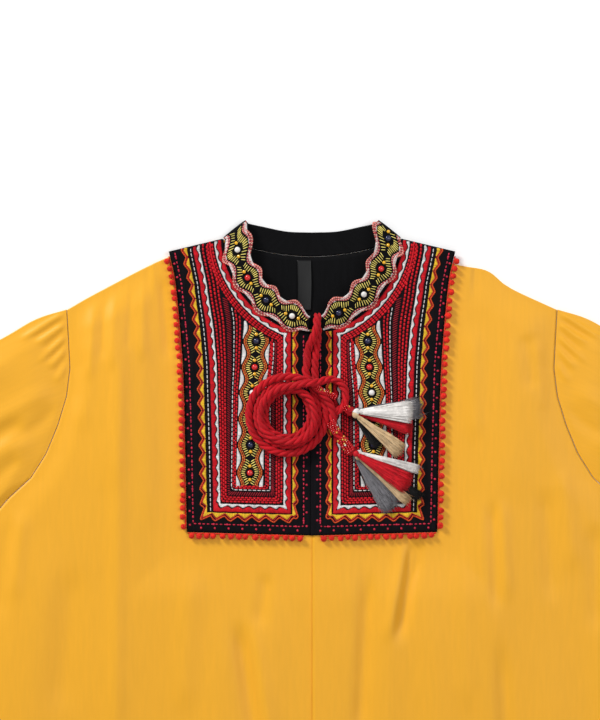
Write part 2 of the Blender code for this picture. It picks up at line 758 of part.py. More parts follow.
def build():
    """Clears the scene and builds every piece of the garment."""
    for old in list(bpy.data.objects):
        bpy.data.objects.remove(old)
    garment = {
        "collection": bpy.data.collections.new("manteau"),
        "helpers": bpy.data.collections.new("helpers"),
    }
    bpy.context.scene.collection.children.link(garment["collection"])
    bpy.context.scene.collection.children.link(garment["helpers"])
    empty = bpy.data.objects.new("manteau_origin", None)
    empty.location = (0, -LENGTH_CENTRE_Y * MM, 0)
    garment["collection"].objects.link(empty)
    garment["empty"] = empty

    rows = ARMHOLE_ROWS + SIDE_ROWS["back"]
    cloth_panel("back", back_point, 2 * sum(BACK_COLUMNS), rows, CLOTH, "satin", garment)
    cloth_panel("neck_facing", facing_point, 14, 3, FACING_WALL, "black_cloth", garment)
    cloth_panel("neck_label", label_point, 2, 4, LABEL_WALL, "black_satin", garment)
    columns, rows = NECK_COLUMNS + SHOULDER_COLUMNS, ARMHOLE_ROWS + SIDE_ROWS["front"]
    for side, word in ((-1, "right"), (1, "left")):
        cloth_panel("front_" + word, front_point(side), columns, rows, CLOTH, "satin", garment)
        cloth_panel("bib_" + word, bib_point(side), 14, 9, BIB_WALL, "black_cloth", garment)
        loft_wall("sleeve_" + word, *sleeve_rings(side), "satin", garment)
        for edge, plan in trim_routes().items():
            pompom_trim(side, edge, plan, garment)
    stations = collar_stations()
    point = collar_point(stations)
    cloth_panel(
        "collar", point, len(stations) - 1, 2, COLLAR_WALL, "black_cloth", garment, offset=0.0
    )
    coil(garment)
    cords(garment)
    knots(garment)
    for row in TASSELS:
        tassel(row, garment)


build()
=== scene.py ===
"""Looks of a mustard satin manteau laid flat, with an embroidered bib, stand collar and tasselled tie.

Every table is in millimetres from the neck point, as in the part's source: x across from the centre
front, y up towards the neck, z up from the floor. The wearer's left is at +X.
"""

import math

import bmesh
import bpy
import numpy as np
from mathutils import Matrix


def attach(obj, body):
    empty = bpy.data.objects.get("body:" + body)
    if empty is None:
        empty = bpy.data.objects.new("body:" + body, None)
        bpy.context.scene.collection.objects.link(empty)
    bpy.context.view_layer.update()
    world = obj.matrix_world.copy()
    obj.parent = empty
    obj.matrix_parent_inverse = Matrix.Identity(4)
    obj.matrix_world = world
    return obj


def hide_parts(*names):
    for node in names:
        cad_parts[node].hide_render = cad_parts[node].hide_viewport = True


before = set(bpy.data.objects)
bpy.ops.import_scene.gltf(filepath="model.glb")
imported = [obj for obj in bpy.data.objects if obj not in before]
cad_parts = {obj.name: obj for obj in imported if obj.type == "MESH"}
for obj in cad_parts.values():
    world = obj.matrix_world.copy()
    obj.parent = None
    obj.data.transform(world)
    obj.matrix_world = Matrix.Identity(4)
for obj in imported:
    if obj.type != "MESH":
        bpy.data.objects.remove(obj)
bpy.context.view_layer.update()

ROW_Y = 510.375  # the neck point's y in the row, in millimetres
CLOTH = 1.2
SEAM_GAP = 0.35
PUFF = 3.0
NECK = (88.0, 92.0)
NECK_POWER = 1.1
HEM_CENTRE_Y = -1040.0
HEM_SIDE = (430.0, -1022.0)
UNDERARM = (322.0, -280.0)
SIDE_SEAM = (UNDERARM, (346.0, -480.0), (385.0, -740.0), (430.0, -1022.0))
ARMHOLE = (
    (245.0, -70.0),
    (243.0, -105.0),
    (242.0, -135.0),
    (247.0, -163.0),
    (262.0, -206.0),
    (281.0, -238.0),
    (302.0, -257.0),
    UNDERARM,
)
SHOULDER = {
    -1: ((91.0, -4.0), (145.0, -18.0), (213.0, -52.0), (245.0, -70.0)),
    1: ((91.0, -4.0), (142.0, -24.0), (175.0, -31.0), (198.0, -48.0), (245.0, -70.0)),
}
BACK_NECK_DROP = 17.0
SLEEVE_UPPER = (
    (245.0, -70.0),
    (276.0, -80.0),
    (313.0, -101.0),
    (400.0, -146.0),
    (478.0, -208.0),
    (530.0, -290.0),
    (597.0, -430.0),
)
SLEEVE_LOWER = (UNDERARM, (352.0, -304.0), (400.0, -362.0), (444.0, -424.0), (484.0, -483.0))
COLLAR_SEAM = (87.0, 91.0)
COLLAR_RIM = (64.0, 72.0)
COLLAR_PEAK = (64.0, 16.0)
COLLAR_END_DEG = {-1: 2.3, 1: 8.8}
COLLAR_BACK_RIM = ((64.0, 16.0), (50.0, 13.0), (25.0, 8.0), (0.0, 7.0))
BIB_SIDE = ((143.0, -12.0), (136.0, -45.0), (129.0, -125.0), (126.5, -209.0), (125.0, -292.0))
BIB_BOTTOM_Y = -295.5
BIB_WALL = 1.5
COIL_BASE = 7.95
COIL_CENTRE = (-24.5, -175.0)
CORD = 7.5  # diameter of the tie
LOW = COIL_BASE + CORD / 2

# Soft ridges and troughs of the fronts: start and end of the crest, half width and height
FOLDS = (
    (-193, -75, -203, -250, 17, 1.5),
    (-166, -80, -160, -290, 14, 1.4),
    (-222, -95, -232, -190, 13, 1.2),
    (-40, -345, -50, -660, 18, 2.1),
    (-84, -360, -104, -720, 20, 2.0),
    (-194, -350, -206, -860, 22, 1.8),
    (-262, -300, -300, -620, 21, 2.0),
    (-322, -560, -372, -1040, 26, 2.1),
    (-130, -700, -148, -1060, 24, 2.1),
    (80, -335, 70, -680, 16, 2.2),
    (118, -340, 140, -720, 20, 1.9),
    (172, -265, 188, -520, 17, 1.7),
    (206, -90, 200, -260, 18, 1.3),
    (236, -400, 262, -900, 24, 2.0),
    (286, -290, 330, -700, 22, 2.1),
    (344, -640, 384, -1050, 26, 2.1),
    (96, -740, 104, -1070, 24, 2.1),
)
CREASES = (
    (-192, -85, -196, -520, 8, 1.3),
    (-218, -58, -223, -140, 5, 0.9),
    (-207, -56, -210, -120, 4, -0.8),
    (-197, -52, -200, -130, 5, 0.8),
    (-181, -48, -183, -110, 4, -0.7),
    (-168, -42, -169, -120, 5, 0.8),
    (-149, -38, -143, -120, 5, -1.0),
    (-302, -275, -316, -380, 10, -1.6),
    (-290, -270, -300, -360, 8, 1.2),
    (-73, -385, -52, -520, 8, -2.6),
    (-60, -380, -36, -540, 8, 1.3),
    (-46, -335, -52, -385, 6, -1.2),
    (-120, -330, -128, -470, 12, 1.2),
    (-240, -330, -252, -470, 14, -1.2),
    (104, -300, 86, -400, 7, -2.6),
    (94, -302, 76, -400, 7, 1.6),
    (56, -335, 47, -500, 7, -2.0),
    (150, -300, 156, -470, 12, 1.0),
    (180, -262, 184, -370, 6, -1.6),
    (190, -262, 195, -360, 6, 1.0),
    (188, -405, 200, -600, 8, -2.0),
    (283, -285, 284, -390, 9, -1.6),
    (214, -95, 220, -150, 8, -1.1),
    (226, -100, 232, -170, 7, 0.9),
    (160, -90, 163, -200, 9, 0.9),
    (250, -230, 262, -330, 9, 1.2),
    (232, -250, 240, -360, 9, -1.2),
)
# Pleats of a sleeve's cap and its long soft folds
GATHERS = (
    (246, -72, 290, -100, 2.6, 1.3),
    (246, -79, 279, -100, 2.2, -1.2),
    (246, -84, 274, -104, 2.4, 1.3),
    (245, -90, 268, -110, 2.2, -1.2),
    (245, -96, 272, -122, 2.4, 1.2),
    (244, -102, 264, -121, 2.2, -1.0),
    (244, -108, 262, -128, 2.6, 1.1),
    (244, -116, 258, -134, 2.6, -0.8),
    (243, -124, 256, -142, 3.0, 0.8),
)
SLEEVE_CREASES = (
    (262, -150, 330, -190, 9, 1.6),
    (250, -168, 300, -205, 7, -1.3),
    (290, -182, 334, -209, 9, -2.2),
    (282, -196, 360, -240, 10, 1.8),
    (292, -218, 330, -252, 7, -1.4),
    (300, -120, 420, -190, 16, 1.6),
    (340, -260, 430, -330, 16, 1.7),
    (420, -230, 500, -330, 16, 1.6),
    (390, -300, 450, -400, 14, -1.2),
    (470, -330, 540, -450, 16, 1.6),
)


def row(points):
    """Garment millimetres as the row's metres."""
    return (np.asarray(points, float) + [0.0, ROW_Y, 0.0]) * 0.001


def smooth(share):
    """Runs from 0 to 1 with level ends as share runs from 0 to 1."""
    s = np.clip(share, 0.0, 1.0)
    return s * s * (3 - 2 * s)


def along(points, share):
    """Points at shares of the length of a smooth curve through points (Catmull-Rom)."""
    p = np.array(points, float)
    steps = np.linalg.norm(np.diff(p, axis=0), axis=1)
    at = np.concatenate([[0], np.cumsum(steps)])
    s = np.clip(np.asarray(share, float), 0, 1) * at[-1]
    i = np.clip(np.searchsorted(at, s, side="right") - 1, 0, len(p) - 2)
    t = ((s - at[i]) / steps[i])[..., None]
    padded = np.vstack([2 * p[0] - p[1], p, 2 * p[-1] - p[-2]])
    before, a, b, after = padded[i], padded[i + 1], padded[i + 2], padded[i + 3]
    bend = 2 * before - 5 * a + 4 * b - after
    twist = 3 * a - before - 3 * b + after
    return 0.5 * (2 * a + (b - before) * t + bend * t**2 + twist * t**3)


def unit(vectors):
    """Vectors at length one."""
    return vectors / np.maximum(np.linalg.norm(vectors, axis=-1, keepdims=True), 1e-9)


def ridges(x, y, table):
    """Summed height of soft ridges: a bell across each crest line, fading out past its two ends."""
    total = np.zeros_like(x)
    for x0, y0, x1, y1, width, height in table:
        run = math.hypot(x1 - x0, y1 - y0)
        t = ((x - x0) * (x1 - x0) + (y - y0) * (y1 - y0)) / run**2
        off = ((x - x0) * (y1 - y0) - (y - y0) * (x1 - x0)) / run
        fade = smooth(t / 0.25 + 0.25) * smooth((1 - t) / 0.25 + 0.25)
        total += height * np.exp(-((off / width) ** 2)) * fade
    return total


# ---- Cloth forms, as in the part's source


def armhole(share):
    """Points of the armhole, straight between its eight rows."""
    step = np.minimum(share, 0.99999) * 8
    i = np.floor(step)
    here, ahead = along(ARMHOLE, i / 8), along(ARMHOLE, (i + 1) / 8)
    return here + (ahead - here) * (step - i)[..., None]


def neck_curve(half_width, depth, share):
    """A quarter of the round neckline, from the centre front to the neck point."""
    angle = np.asarray(share, float) * math.pi / 2
    across, down = np.clip(np.sin(angle), 0, 1), np.clip(np.cos(angle), 0, 1)
    return np.stack([half_width * across**NECK_POWER, -depth * down**NECK_POWER], -1)


def back_neck(share):
    """Half of the back neckline, from its middle to the neck point."""
    turn = share * math.pi / 2
    return np.stack([NECK[0] * np.sin(turn), -BACK_NECK_DROP * np.cos(turn) ** 2], -1)


def bib_half_width(y):
    """Distance from the centre front to the bib's outer edge at height y."""
    return np.interp(-y, [-p[1] for p in BIB_SIDE], [p[0] for p in BIB_SIDE])


def bib_clearance(x, y):
    """How far (x, y) lies outside the bib; 0 under it."""
    return np.maximum(np.maximum(np.abs(x) - bib_half_width(y), BIB_BOTTOM_Y - y), 0)


def underlap(side, x):
    """Extra height of the upper front where it lies over the lower one's button stand."""
    return (CLOTH + SEAM_GAP) * (1 - smooth((x - 31) / 26)) if side > 0 else np.zeros_like(x)


def bib_face(side, x):
    """Height of a bib half's upper face."""
    return PUFF + CLOTH + SEAM_GAP + BIB_WALL + underlap(side, x)


def patch(top, bottom, left, right, u, v):
    """A four-sided patch blended from its four edge curves (Coons): v runs down, u across."""
    u1, v1 = u[..., None], v[..., None]
    zero, one = np.zeros_like(u), np.ones_like(u)
    corners = (
        (1 - u1) * (1 - v1) * top(zero)
        + u1 * (1 - v1) * top(one)
        + (1 - u1) * v1 * bottom(zero)
        + u1 * v1 * bottom(one)
    )
    edges = (1 - v1) * top(u) + v1 * bottom(u) + (1 - u1) * left(v) + u1 * right(v)
    return edges - corners


def body_plan(side, neck, neck_columns, shoulder_columns, side_rows, s, v):
    """Half a body piece in plan: s runs out from the centre, v down from the neck and shoulder."""
    neck_share = neck_columns / (neck_columns + shoulder_columns)
    arm_share = 8 / (8 + side_rows)
    foot = np.array([0.0, HEM_CENTRE_Y])

    def top(q):
        shoulder = along(SHOULDER[side], (q - neck_share) / (1 - neck_share))
        return np.where((q <= neck_share)[..., None], neck(np.minimum(q / neck_share, 1)), shoulder)

    def outer(q):
        seam = along(SIDE_SEAM, (q - arm_share) / (1 - arm_share))
        return np.where((q <= arm_share)[..., None], armhole(np.minimum(q / arm_share, 1)), seam)

    def centre(q):
        start = neck(np.zeros_like(q))
        return start + (foot - start) * q[..., None]

    def hem(q):
        return np.stack([q * HEM_SIDE[0], HEM_CENTRE_Y + (HEM_SIDE[1] - HEM_CENTRE_Y) * q**2], -1)

    return patch(top, hem, centre, outer, s, v)


# ---- Meshes


def piece(name, points, faces, finish, dye=None, uv=None, weld=False, rough_edges=False):
    """A mesh object from garment millimetres and equal-sided faces, riding on the garment."""
    points = row(points).reshape(-1, 3)
    faces = np.asarray(faces, np.int32)
    corners = points[faces[:, :3]]
    swept = np.einsum("ij,ij->", corners[:, 0], np.cross(corners[:, 1], corners[:, 2]))
    if faces.shape[1] == 4:
        rest = points[faces[:, [0, 2, 3]]]
        swept += np.einsum("ij,ij->", rest[:, 0], np.cross(rest[:, 1], rest[:, 2]))
    if swept < 0:
        faces = faces[:, ::-1]
    mesh = bpy.data.meshes.new(name)
    mesh.vertices.add(len(points))
    mesh.vertices.foreach_set("co", points.ravel())
    mesh.loops.add(faces.size)
    mesh.loops.foreach_set("vertex_index", faces.ravel())
    mesh.polygons.add(len(faces))
    mesh.polygons.foreach_set("loop_start", np.arange(0, faces.size, faces.shape[1], dtype=np.int32))
    mesh.update(calc_edges=True)
    if dye is not None:
        colour = np.ones((len(points), 4), np.float32)
        colour[:, :3] = np.broadcast_to(dye, (len(points), 3))
        mesh.color_attributes.new("dye", "FLOAT_COLOR", "POINT").data.foreach_set("color", colour.ravel())
    if uv is not None:
        layer = mesh.uv_layers.new(name="cloth")
        layer.data.foreach_set("uv", np.asarray(uv, np.float32).reshape(-1, 2)[faces.ravel()].ravel())
    if weld:
        shape = bmesh.new()
        shape.from_mesh(mesh)
        bmesh.ops.remove_doubles(shape, verts=shape.verts, dist=1e-7)
        shape.to_mesh(mesh)
        shape.free()
    mesh.polygons.foreach_set("use_smooth", np.full(len(mesh.polygons), not rough_edges))
    made = bpy.data.objects.new(name, mesh)
    bpy.context.scene.collection.objects.link(made)
    mesh.materials.append(finish)
    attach(made, "root")
    return made


def grid(rows, columns, closed=False):
    """Quads of a grid of rows by columns; closed joins the last column to the first."""
    index = np.arange(rows * columns).reshape(rows, columns)
    ahead = np.roll(index, -1, axis=1)
    quads = np.stack([index[:-1], ahead[:-1], ahead[1:], index[1:]], -1)
    return (quads if closed else quads[:, :-1]).reshape(-1, 4)


def shell(top, under):
    """Points and quads of a closed sheet between an upper and a lower grid of the same size."""
    rows, columns = top.shape[:2]
    index = np.arange(rows * columns).reshape(rows, columns)
    count = rows * columns
    rim = np.concatenate([index[0, :-1], index[:-1, -1], index[-1, :0:-1], index[:0:-1, 0]])
    ahead = np.roll(rim, -1)
    quads = grid(rows, columns)
    walls = np.stack([ahead, rim, rim + count, ahead + count], -1)
    faces = np.concatenate([quads, quads[:, ::-1] + count, walls])
    return np.concatenate([top.reshape(-1, 3), under.reshape(-1, 3)]), faces


def sheet_uv(plan):
    """A UV in metres from a grid of plan points, the same on both faces of the sheet."""
    flat = plan.reshape(-1, plan.shape[-1])[:, :2] * 0.001
    return np.concatenate([flat, flat])


def bearings(path):
    """Unit way, side and lift at each point of paths that never stand upright."""
    way = unit(np.gradient(path, axis=-2))
    side = unit(np.cross(way, [0.0, 0.0, 1.0]))
    return way, side, np.cross(side, way)


def tubes(paths, radius, sides):
    """Closed tubes along paths (count, stations, 3): a ring of sides at each station, radius per station."""
    _, side, lift = bearings(paths)
    turn = 2 * np.pi * np.arange(sides) / sides
    ring = np.cos(turn)[:, None] * side[..., None, :] + np.sin(turn)[:, None] * lift[..., None, :]
    points = paths[..., None, :] + np.asarray(radius)[..., None, None] * ring
    count, stations = paths.shape[:2]
    one = grid(stations, sides, closed=True)
    faces = one[None] + (np.arange(count) * stations * sides)[:, None, None]
    return points.reshape(-1, 3), faces.reshape(-1, 4)


def ball(around, levels):
    """A unit ball as triangles: rings at equal steps of latitude between two poles."""
    lat = np.pi * np.arange(1, levels) / levels
    turn = 2 * np.pi * np.arange(around) / around
    rings = np.stack(
        [
            np.sin(lat)[:, None] * np.cos(turn),
            np.sin(lat)[:, None] * np.sin(turn),
            np.repeat(np.cos(lat)[:, None], around, 1),
        ],
        -1,
    ).reshape(-1, 3)
    quads = grid(levels - 1, around, closed=True)
    first, last = np.arange(around), (levels - 2) * around + np.arange(around)
    count = len(rings)
    fans = np.concatenate(
        [
            np.stack([np.full(around, count), np.roll(first, -1), first], -1),
            np.stack([np.full(around, count + 1), last, np.roll(last, -1)], -1),
        ]
    )
    tris = np.concatenate([quads[:, [0, 1, 2]], quads[:, [0, 2, 3]], fans])
    return np.vstack([rings, [0, 0, 1], [0, 0, -1]]), tris


def scatter(shape, centres, frames, scale):
    """Copies of a unit shape at centres, each turned by its three axes and scaled along them."""
    points, tris = shape
    placed = np.einsum("pk,nk,nkj->npj", points, np.broadcast_to(scale, (len(centres), 3)), frames)
    faces = tris[None] + (np.arange(len(centres)) * len(points))[:, None, None]
    return (placed + centres[:, None]).reshape(-1, 3), faces.reshape(-1, 3)


def grain_shape():
    """A unit stitch along x: a pole at each end and two rings of four between them."""
    ring = np.array([[0, 1, 0], [0, 0, 1], [0, -1, 0], [0, 0, -0.7]], float)
    rings = np.vstack([ring + [-0.32, 0, 0], ring + [0.32, 0, 0]])
    points = np.vstack([rings, [-0.5, 0, 0], [0.5, 0, 0]])
    tris = []
    for i in range(4):
        j = (i + 1) % 4
        tris += [[i, i + 4, j + 4], [i, j + 4, j], [8, i, j], [9, j + 4, i + 4]]
    return points, np.array(tris)


GRAIN = grain_shape()
BALL = ball(12, 8)
SEED = ball(7, 5)


class Needlework:
    """Collects stitches: each a grain from one point to another, with its width, height and colour."""

    def __init__(self):
        self.rows = []

    def add(self, start, end, normal, width, height, colour):
        """Adds stitches; width is half across, height half through, in millimetres."""
        n = len(start)
        if n:
            sizes = [np.broadcast_to(np.asarray(v, float), (n,)) for v in (width, height)]
            colours = np.broadcast_to(colour, (n, 3))
            self.rows.append((start, end, np.broadcast_to(normal, (n, 3)), *sizes, colours))

    def arrays(self):
        """All the stitches' arrays, joined."""
        return [np.concatenate(column) for column in zip(*self.rows)]

    def make(self, name, finish, keep=None):
        """One mesh of all the stitches that keep(middle) lets stand."""
        start, end, normal, width, height, colour = self.arrays()
        if keep is not None:
            ok = keep((start + end) / 2)
            start, end, normal, width, height, colour = (
                a[ok] for a in (start, end, normal, width, height, colour)
            )
        way = unit(end - start)
        side = unit(np.cross(normal, way))
        frames = np.stack([way, side, np.cross(way, side)], 1)
        long = np.linalg.norm(end - start, axis=1)
        middle = (start + end) / 2
        points, faces = scatter(GRAIN, middle, frames, np.stack([long, width, height], -1))
        dye = np.repeat(colour, len(GRAIN[0]), axis=0)
        return piece(name, points, faces, finish, dye=dye)


def srgb(red, green, blue):
    """A colour given as 0 to 255 on a screen, as linear light."""
    c = np.array([red, green, blue]) / 255
    return np.where(c <= 0.04045, c / 12.92, ((c + 0.055) / 1.055) ** 2.4)


# ---- Materials


def new_group(name, inputs, outputs):
    """An empty node group with float or vector inputs and its outputs."""
    made = bpy.data.node_groups.new(name, "ShaderNodeTree")
    for label, kind, value in inputs:
        socket = made.interface.new_socket(label, in_out="INPUT", socket_type=kind)
        if value is not None:
            socket.default_value = value
    for label, kind in outputs:
        made.interface.new_socket(label, in_out="OUTPUT", socket_type=kind)
    return made, made.nodes.new("NodeGroupInput"), made.nodes.new("NodeGroupOutput")


def math_node(tree, operation, *values):
    """A Math node whose inputs are sockets or numbers; returns its result."""
    node = tree.nodes.new("ShaderNodeMath")
    node.operation = operation
    for socket, value in zip(node.inputs, values):
        if isinstance(value, (int, float)):
            socket.default_value = value
        else:
            tree.links.new(value, socket)
    return node.outputs[0]


def weave_group():
    """Over-and-under weave: the product of two thread waves, with slubs from a stretched noise."""
    tree, into, out = new_group(
        "weave",
        (
            ("Vector", "NodeSocketVector", None),
            ("Threads per metre", "NodeSocketFloat", 1500.0),
            ("Slub", "NodeSocketFloat", 0.5),
        ),
        (("Height", "NodeSocketFloat"), ("Shade", "NodeSocketFloat")),
    )
    split = tree.nodes.new("ShaderNodeSeparateXYZ")
    tree.links.new(into.outputs["Vector"], split.inputs[0])
    waves = []
    for axis in ("X", "Y"):
        turns = math_node(tree, "MULTIPLY", split.outputs[axis], into.outputs["Threads per metre"])
        waves.append(math_node(tree, "SINE", math_node(tree, "MULTIPLY", turns, math.pi)))
    product = math_node(tree, "MULTIPLY", *waves)
    slub = tree.nodes.new("ShaderNodeTexNoise")
    slub.inputs["Scale"].default_value = 260.0
    slub.inputs["Detail"].default_value = 3.0
    stretch = tree.nodes.new("ShaderNodeMapping")
    stretch.inputs["Scale"].default_value = (1.0, 0.12, 1.0)
    tree.links.new(into.outputs["Vector"], stretch.inputs["Vector"])
    tree.links.new(stretch.outputs[0], slub.inputs["Vector"])
    rough = math_node(tree, "MULTIPLY", slub.outputs["Fac"], into.outputs["Slub"])
    tree.links.new(math_node(tree, "ADD", product, rough), out.inputs["Height"])
    tree.links.new(slub.outputs["Fac"], out.inputs["Shade"])
    return tree


def fibre_group():
    """Spun fibre: fine noise, stretched along the yarn only by the coordinates it is given, with a slow
    change of shade.
    """
    tree, into, out = new_group(
        "fibre",
        (("Vector", "NodeSocketVector", None), ("Scale", "NodeSocketFloat", 1800.0)),
        (("Height", "NodeSocketFloat"), ("Shade", "NodeSocketFloat")),
    )
    fine = tree.nodes.new("ShaderNodeTexNoise")
    fine.inputs["Detail"].default_value = 4.0
    fine.inputs["Roughness"].default_value = 0.65
    slow = tree.nodes.new("ShaderNodeTexNoise")
    slow.inputs["Scale"].default_value = 220.0
    tree.links.new(into.outputs["Vector"], fine.inputs["Vector"])
    tree.links.new(into.outputs["Scale"], fine.inputs["Scale"])
    tree.links.new(into.outputs["Vector"], slow.inputs["Vector"])
    tree.links.new(fine.outputs["Fac"], out.inputs["Height"])
    tree.links.new(slow.outputs["Fac"], out.inputs["Shade"])
    return tree


WEAVE, FIBRE = weave_group(), fibre_group()


def finish(name, colour, roughness, group, settings, shade=0.12, bump=0.3, depth=0.0002, uv=False, **sockets):
    """A Principled finish: its colour or the dye attribute, varied by the group's shade, with its bump."""
    made = bpy.data.materials.new(name)
    made.use_nodes = True
    tree = made.node_tree
    shader = tree.nodes["Principled BSDF"]
    shader.inputs["Roughness"].default_value = roughness
    for label, value in sockets.items():
        shader.inputs[label.replace("_", " ")].default_value = value
    where = tree.nodes.new("ShaderNodeTexCoord").outputs["UV" if uv else "Object"]
    relief = tree.nodes.new("ShaderNodeGroup")
    relief.node_tree = group
    tree.links.new(where, relief.inputs["Vector"])
    for label, value in settings.items():
        relief.inputs[label].default_value = value
    tint = tree.nodes.new("ShaderNodeMix")
    tint.data_type = "RGBA"
    tint.blend_type = "MULTIPLY"
    tint.inputs["Factor"].default_value = 1.0
    if colour is None:
        dye = tree.nodes.new("ShaderNodeVertexColor")
        dye.layer_name = "dye"
        tree.links.new(dye.outputs["Color"], tint.inputs["A"])
    else:
        tint.inputs["A"].default_value = (*colour, 1)
    ramp = tree.nodes.new("ShaderNodeMapRange")
    ramp.inputs["From Min"].default_value = 0.3
    ramp.inputs["From Max"].default_value = 0.7
    ramp.inputs["To Min"].default_value = 1 - shade
    ramp.inputs["To Max"].default_value = 1 + shade * 0.4
    tree.links.new(relief.outputs["Shade"], ramp.inputs["Value"])
    tree.links.new(ramp.outputs["Result"], tint.inputs["B"])
    tree.links.new(tint.outputs["Result"], shader.inputs["Base Color"])
    rise = tree.nodes.new("ShaderNodeBump")
    rise.inputs["Strength"].default_value = bump
    rise.inputs["Distance"].default_value = depth
    tree.links.new(relief.outputs["Height"], rise.inputs["Height"])
    tree.links.new(rise.outputs["Normal"], shader.inputs["Normal"])
    return made


SATIN = finish(
    "mustard_satin", srgb(240, 172, 36), 0.45, WEAVE, {"Threads per metre": 2600.0, "Slub": 0.9},
    shade=0.03, bump=0.14, depth=0.0001, uv=True, Sheen_Weight=0.08, Sheen_Roughness=0.4,
    Specular_IOR_Level=0.35,
)
GROUND = finish(
    "black_cotton", srgb(17, 15, 19), 0.9, WEAVE, {"Threads per metre": 1500.0, "Slub": 0.6},
    shade=0.35, bump=0.6, depth=0.0003, uv=True, Specular_IOR_Level=0.12,
)
LINING = finish(
    "black_lining", srgb(9, 9, 11), 0.85, WEAVE, {"Threads per metre": 1900.0, "Slub": 0.5},
    shade=0.3, bump=0.3, depth=0.0002, uv=True, Specular_IOR_Level=0.12,
)
LABEL = finish(
    "black_label_satin", srgb(8, 8, 9), 0.3, WEAVE, {"Threads per metre": 2400.0, "Slub": 0.4},
    shade=0.2, bump=0.2, depth=0.0001, uv=True, Specular_IOR_Level=0.3,
)
FLOSS = finish(
    "embroidery_floss", None, 0.6, FIBRE, {"Scale": 2600.0}, shade=0.18, bump=0.35, depth=0.0002,
    Specular_IOR_Level=0.22,
)
ROPE = finish(
    "red_rope", srgb(198, 8, 26), 0.6, FIBRE, {"Scale": 2600.0}, shade=0.4, bump=0.9, depth=0.0005,
    uv=True, Sheen_Weight=0.06, Sheen_Roughness=0.5, Specular_IOR_Level=0.2,
)
KNOTTED = finish(
    "red_knot", srgb(176, 8, 22), 0.6, FIBRE, {"Scale": 1600.0}, shade=0.4, bump=0.9, depth=0.0006,
    Specular_IOR_Level=0.25,
)
YARN = finish(
    "tassel_yarn", None, 0.6, FIBRE, {"Scale": 2600.0}, shade=0.2, bump=0.3, depth=0.0002,
    Sheen_Weight=0.06, Specular_IOR_Level=0.22,
)
FLUFF = finish(
    "pompom_fluff", srgb(236, 44, 28), 0.85, FIBRE, {"Scale": 3000.0}, shade=0.35, bump=0.9,
    depth=0.0005, Sheen_Weight=0.12, Specular_IOR_Level=0.15,
)
GLASS = finish(
    "bead_glass", None, 0.14, FIBRE, {"Scale": 700.0}, shade=0.08, bump=0.05, depth=0.0001,
    Coat_Weight=0.5, Coat_Roughness=0.05,
)

# ---- Camera, floor and light


def stage():
    """A pale floor, a soft key light from the upper left, a fill and a pale surround."""
    scene = bpy.context.scene
    eye = bpy.data.cameras.new("eye")
    eye.sensor_width, eye.lens, eye.clip_end = 36.0, 150.0, 20.0
    holder = bpy.data.objects.new("eye", eye)
    holder.location = (-0.012, 0.390, 3.0)
    scene.collection.objects.link(holder)
    scene.camera = holder
    floor = bpy.data.meshes.new("floor")
    floor.from_pydata([(-6, -6, 0), (6, -6, 0), (6, 6, 0), (-6, 6, 0)], [], [(0, 1, 2, 3)])
    ground = bpy.data.objects.new("floor", floor)
    scene.collection.objects.link(ground)
    paper = bpy.data.materials.new("white_paper")
    paper.use_nodes = True
    shader = paper.node_tree.nodes["Principled BSDF"]
    shader.inputs["Base Color"].default_value = (1.0, 1.0, 1.0, 1)
    shader.inputs["Roughness"].default_value = 0.9
    floor.materials.append(paper)
    lamps = (
        ("key", (-2.3, 2.7, 1.7), 1.0, 108.0),
        ("fill", (1.9, 0.9, 2.4), 1.8, 21.0),
        ("top", (0.4, 0.9, 3.4), 2.0, 14.0),
    )
    for name, place, size, power in lamps:
        lamp = bpy.data.lights.new(name, "AREA")
        lamp.shape, lamp.size, lamp.energy = "DISK", size, power
        made = bpy.data.objects.new(name, lamp)
        made.location = place
        aim = np.array([0.0, 0.35, 0.0]) - np.array(place)
        made.rotation_euler = (
            math.atan2(math.hypot(aim[0], aim[1]), -aim[2]), 0.0, math.atan2(-aim[0], aim[1]),
        )
        scene.collection.objects.link(made)
    world = bpy.data.worlds.new("surround")
    world.use_nodes = True
    world.node_tree.nodes["Background"].inputs["Color"].default_value = (1, 1, 1, 1)
    world.node_tree.nodes["Background"].inputs["Strength"].default_value = 0.4
    scene.world = world
    scene.view_settings.view_transform = "Standard"
    scene.view_settings.look = "None"


stage()

# ---- The tie

# The wound part of each cord: angle in degrees round the coil's centre, radius and height over LOW
WOUND_RIGHT = (
    (52, 38.5, 0.6), (36, 33.5, 0), (16, 30.9, 0), (-4, 30.75, 0), (-24, 30.75, 0), (-44, 30.75, 0),
    (-64, 30.75, 0), (-84, 30.75, 0), (-104, 30.75, 0), (-124, 30.75, 0), (-144, 30.75, 0),
    (-164, 30.75, 0), (-184, 30.75, 0), (-204, 30.75, 0), (-224, 30.75, 0), (-244, 30.3, 0),
    (-264, 29.4, 0), (-284, 27.8, 0), (-304, 25.6, 0), (-324, 23.8, 0), (-344, 23, 0), (-364, 23, 0),
    (-386, 23, 0), (-408, 23, 0), (-430, 23, 0), (-452, 23, 0), (-474, 23, 0), (-496, 23, 0),
    (-518, 23, 0), (-540, 23, 0), (-562, 23, 0), (-584, 23.2, 0.2), (-606, 23.6, 1.4),
    (-628, 24.6, 3.4), (-650, 26, 5.4), (-672, 27, 6.4), (-692, 27, 6.6), (-712, 27, 6.6),
    (-732, 27.4, 6.6), (-752, 27.6, 6.5), (-772, 27.4, 6.4), (-792, 27, 6.4), (-812, 26.8, 6.4),
    (-832, 26.8, 6.4), (-852, 27, 6.4), (-872, 27.2, 6.4), (-892, 27, 6.4), (-912, 26.8, 6.4),
    (-932, 27, 6.4), (-952, 27.2, 6.5), (-972, 27.2, 7.0), (-990, 28, 8.4), (-1004, 30.2, 10.4),
    (-1015, 34, 12.2), (-1024, 38.6, 12.4), (-1031, 43, 9.6),
)
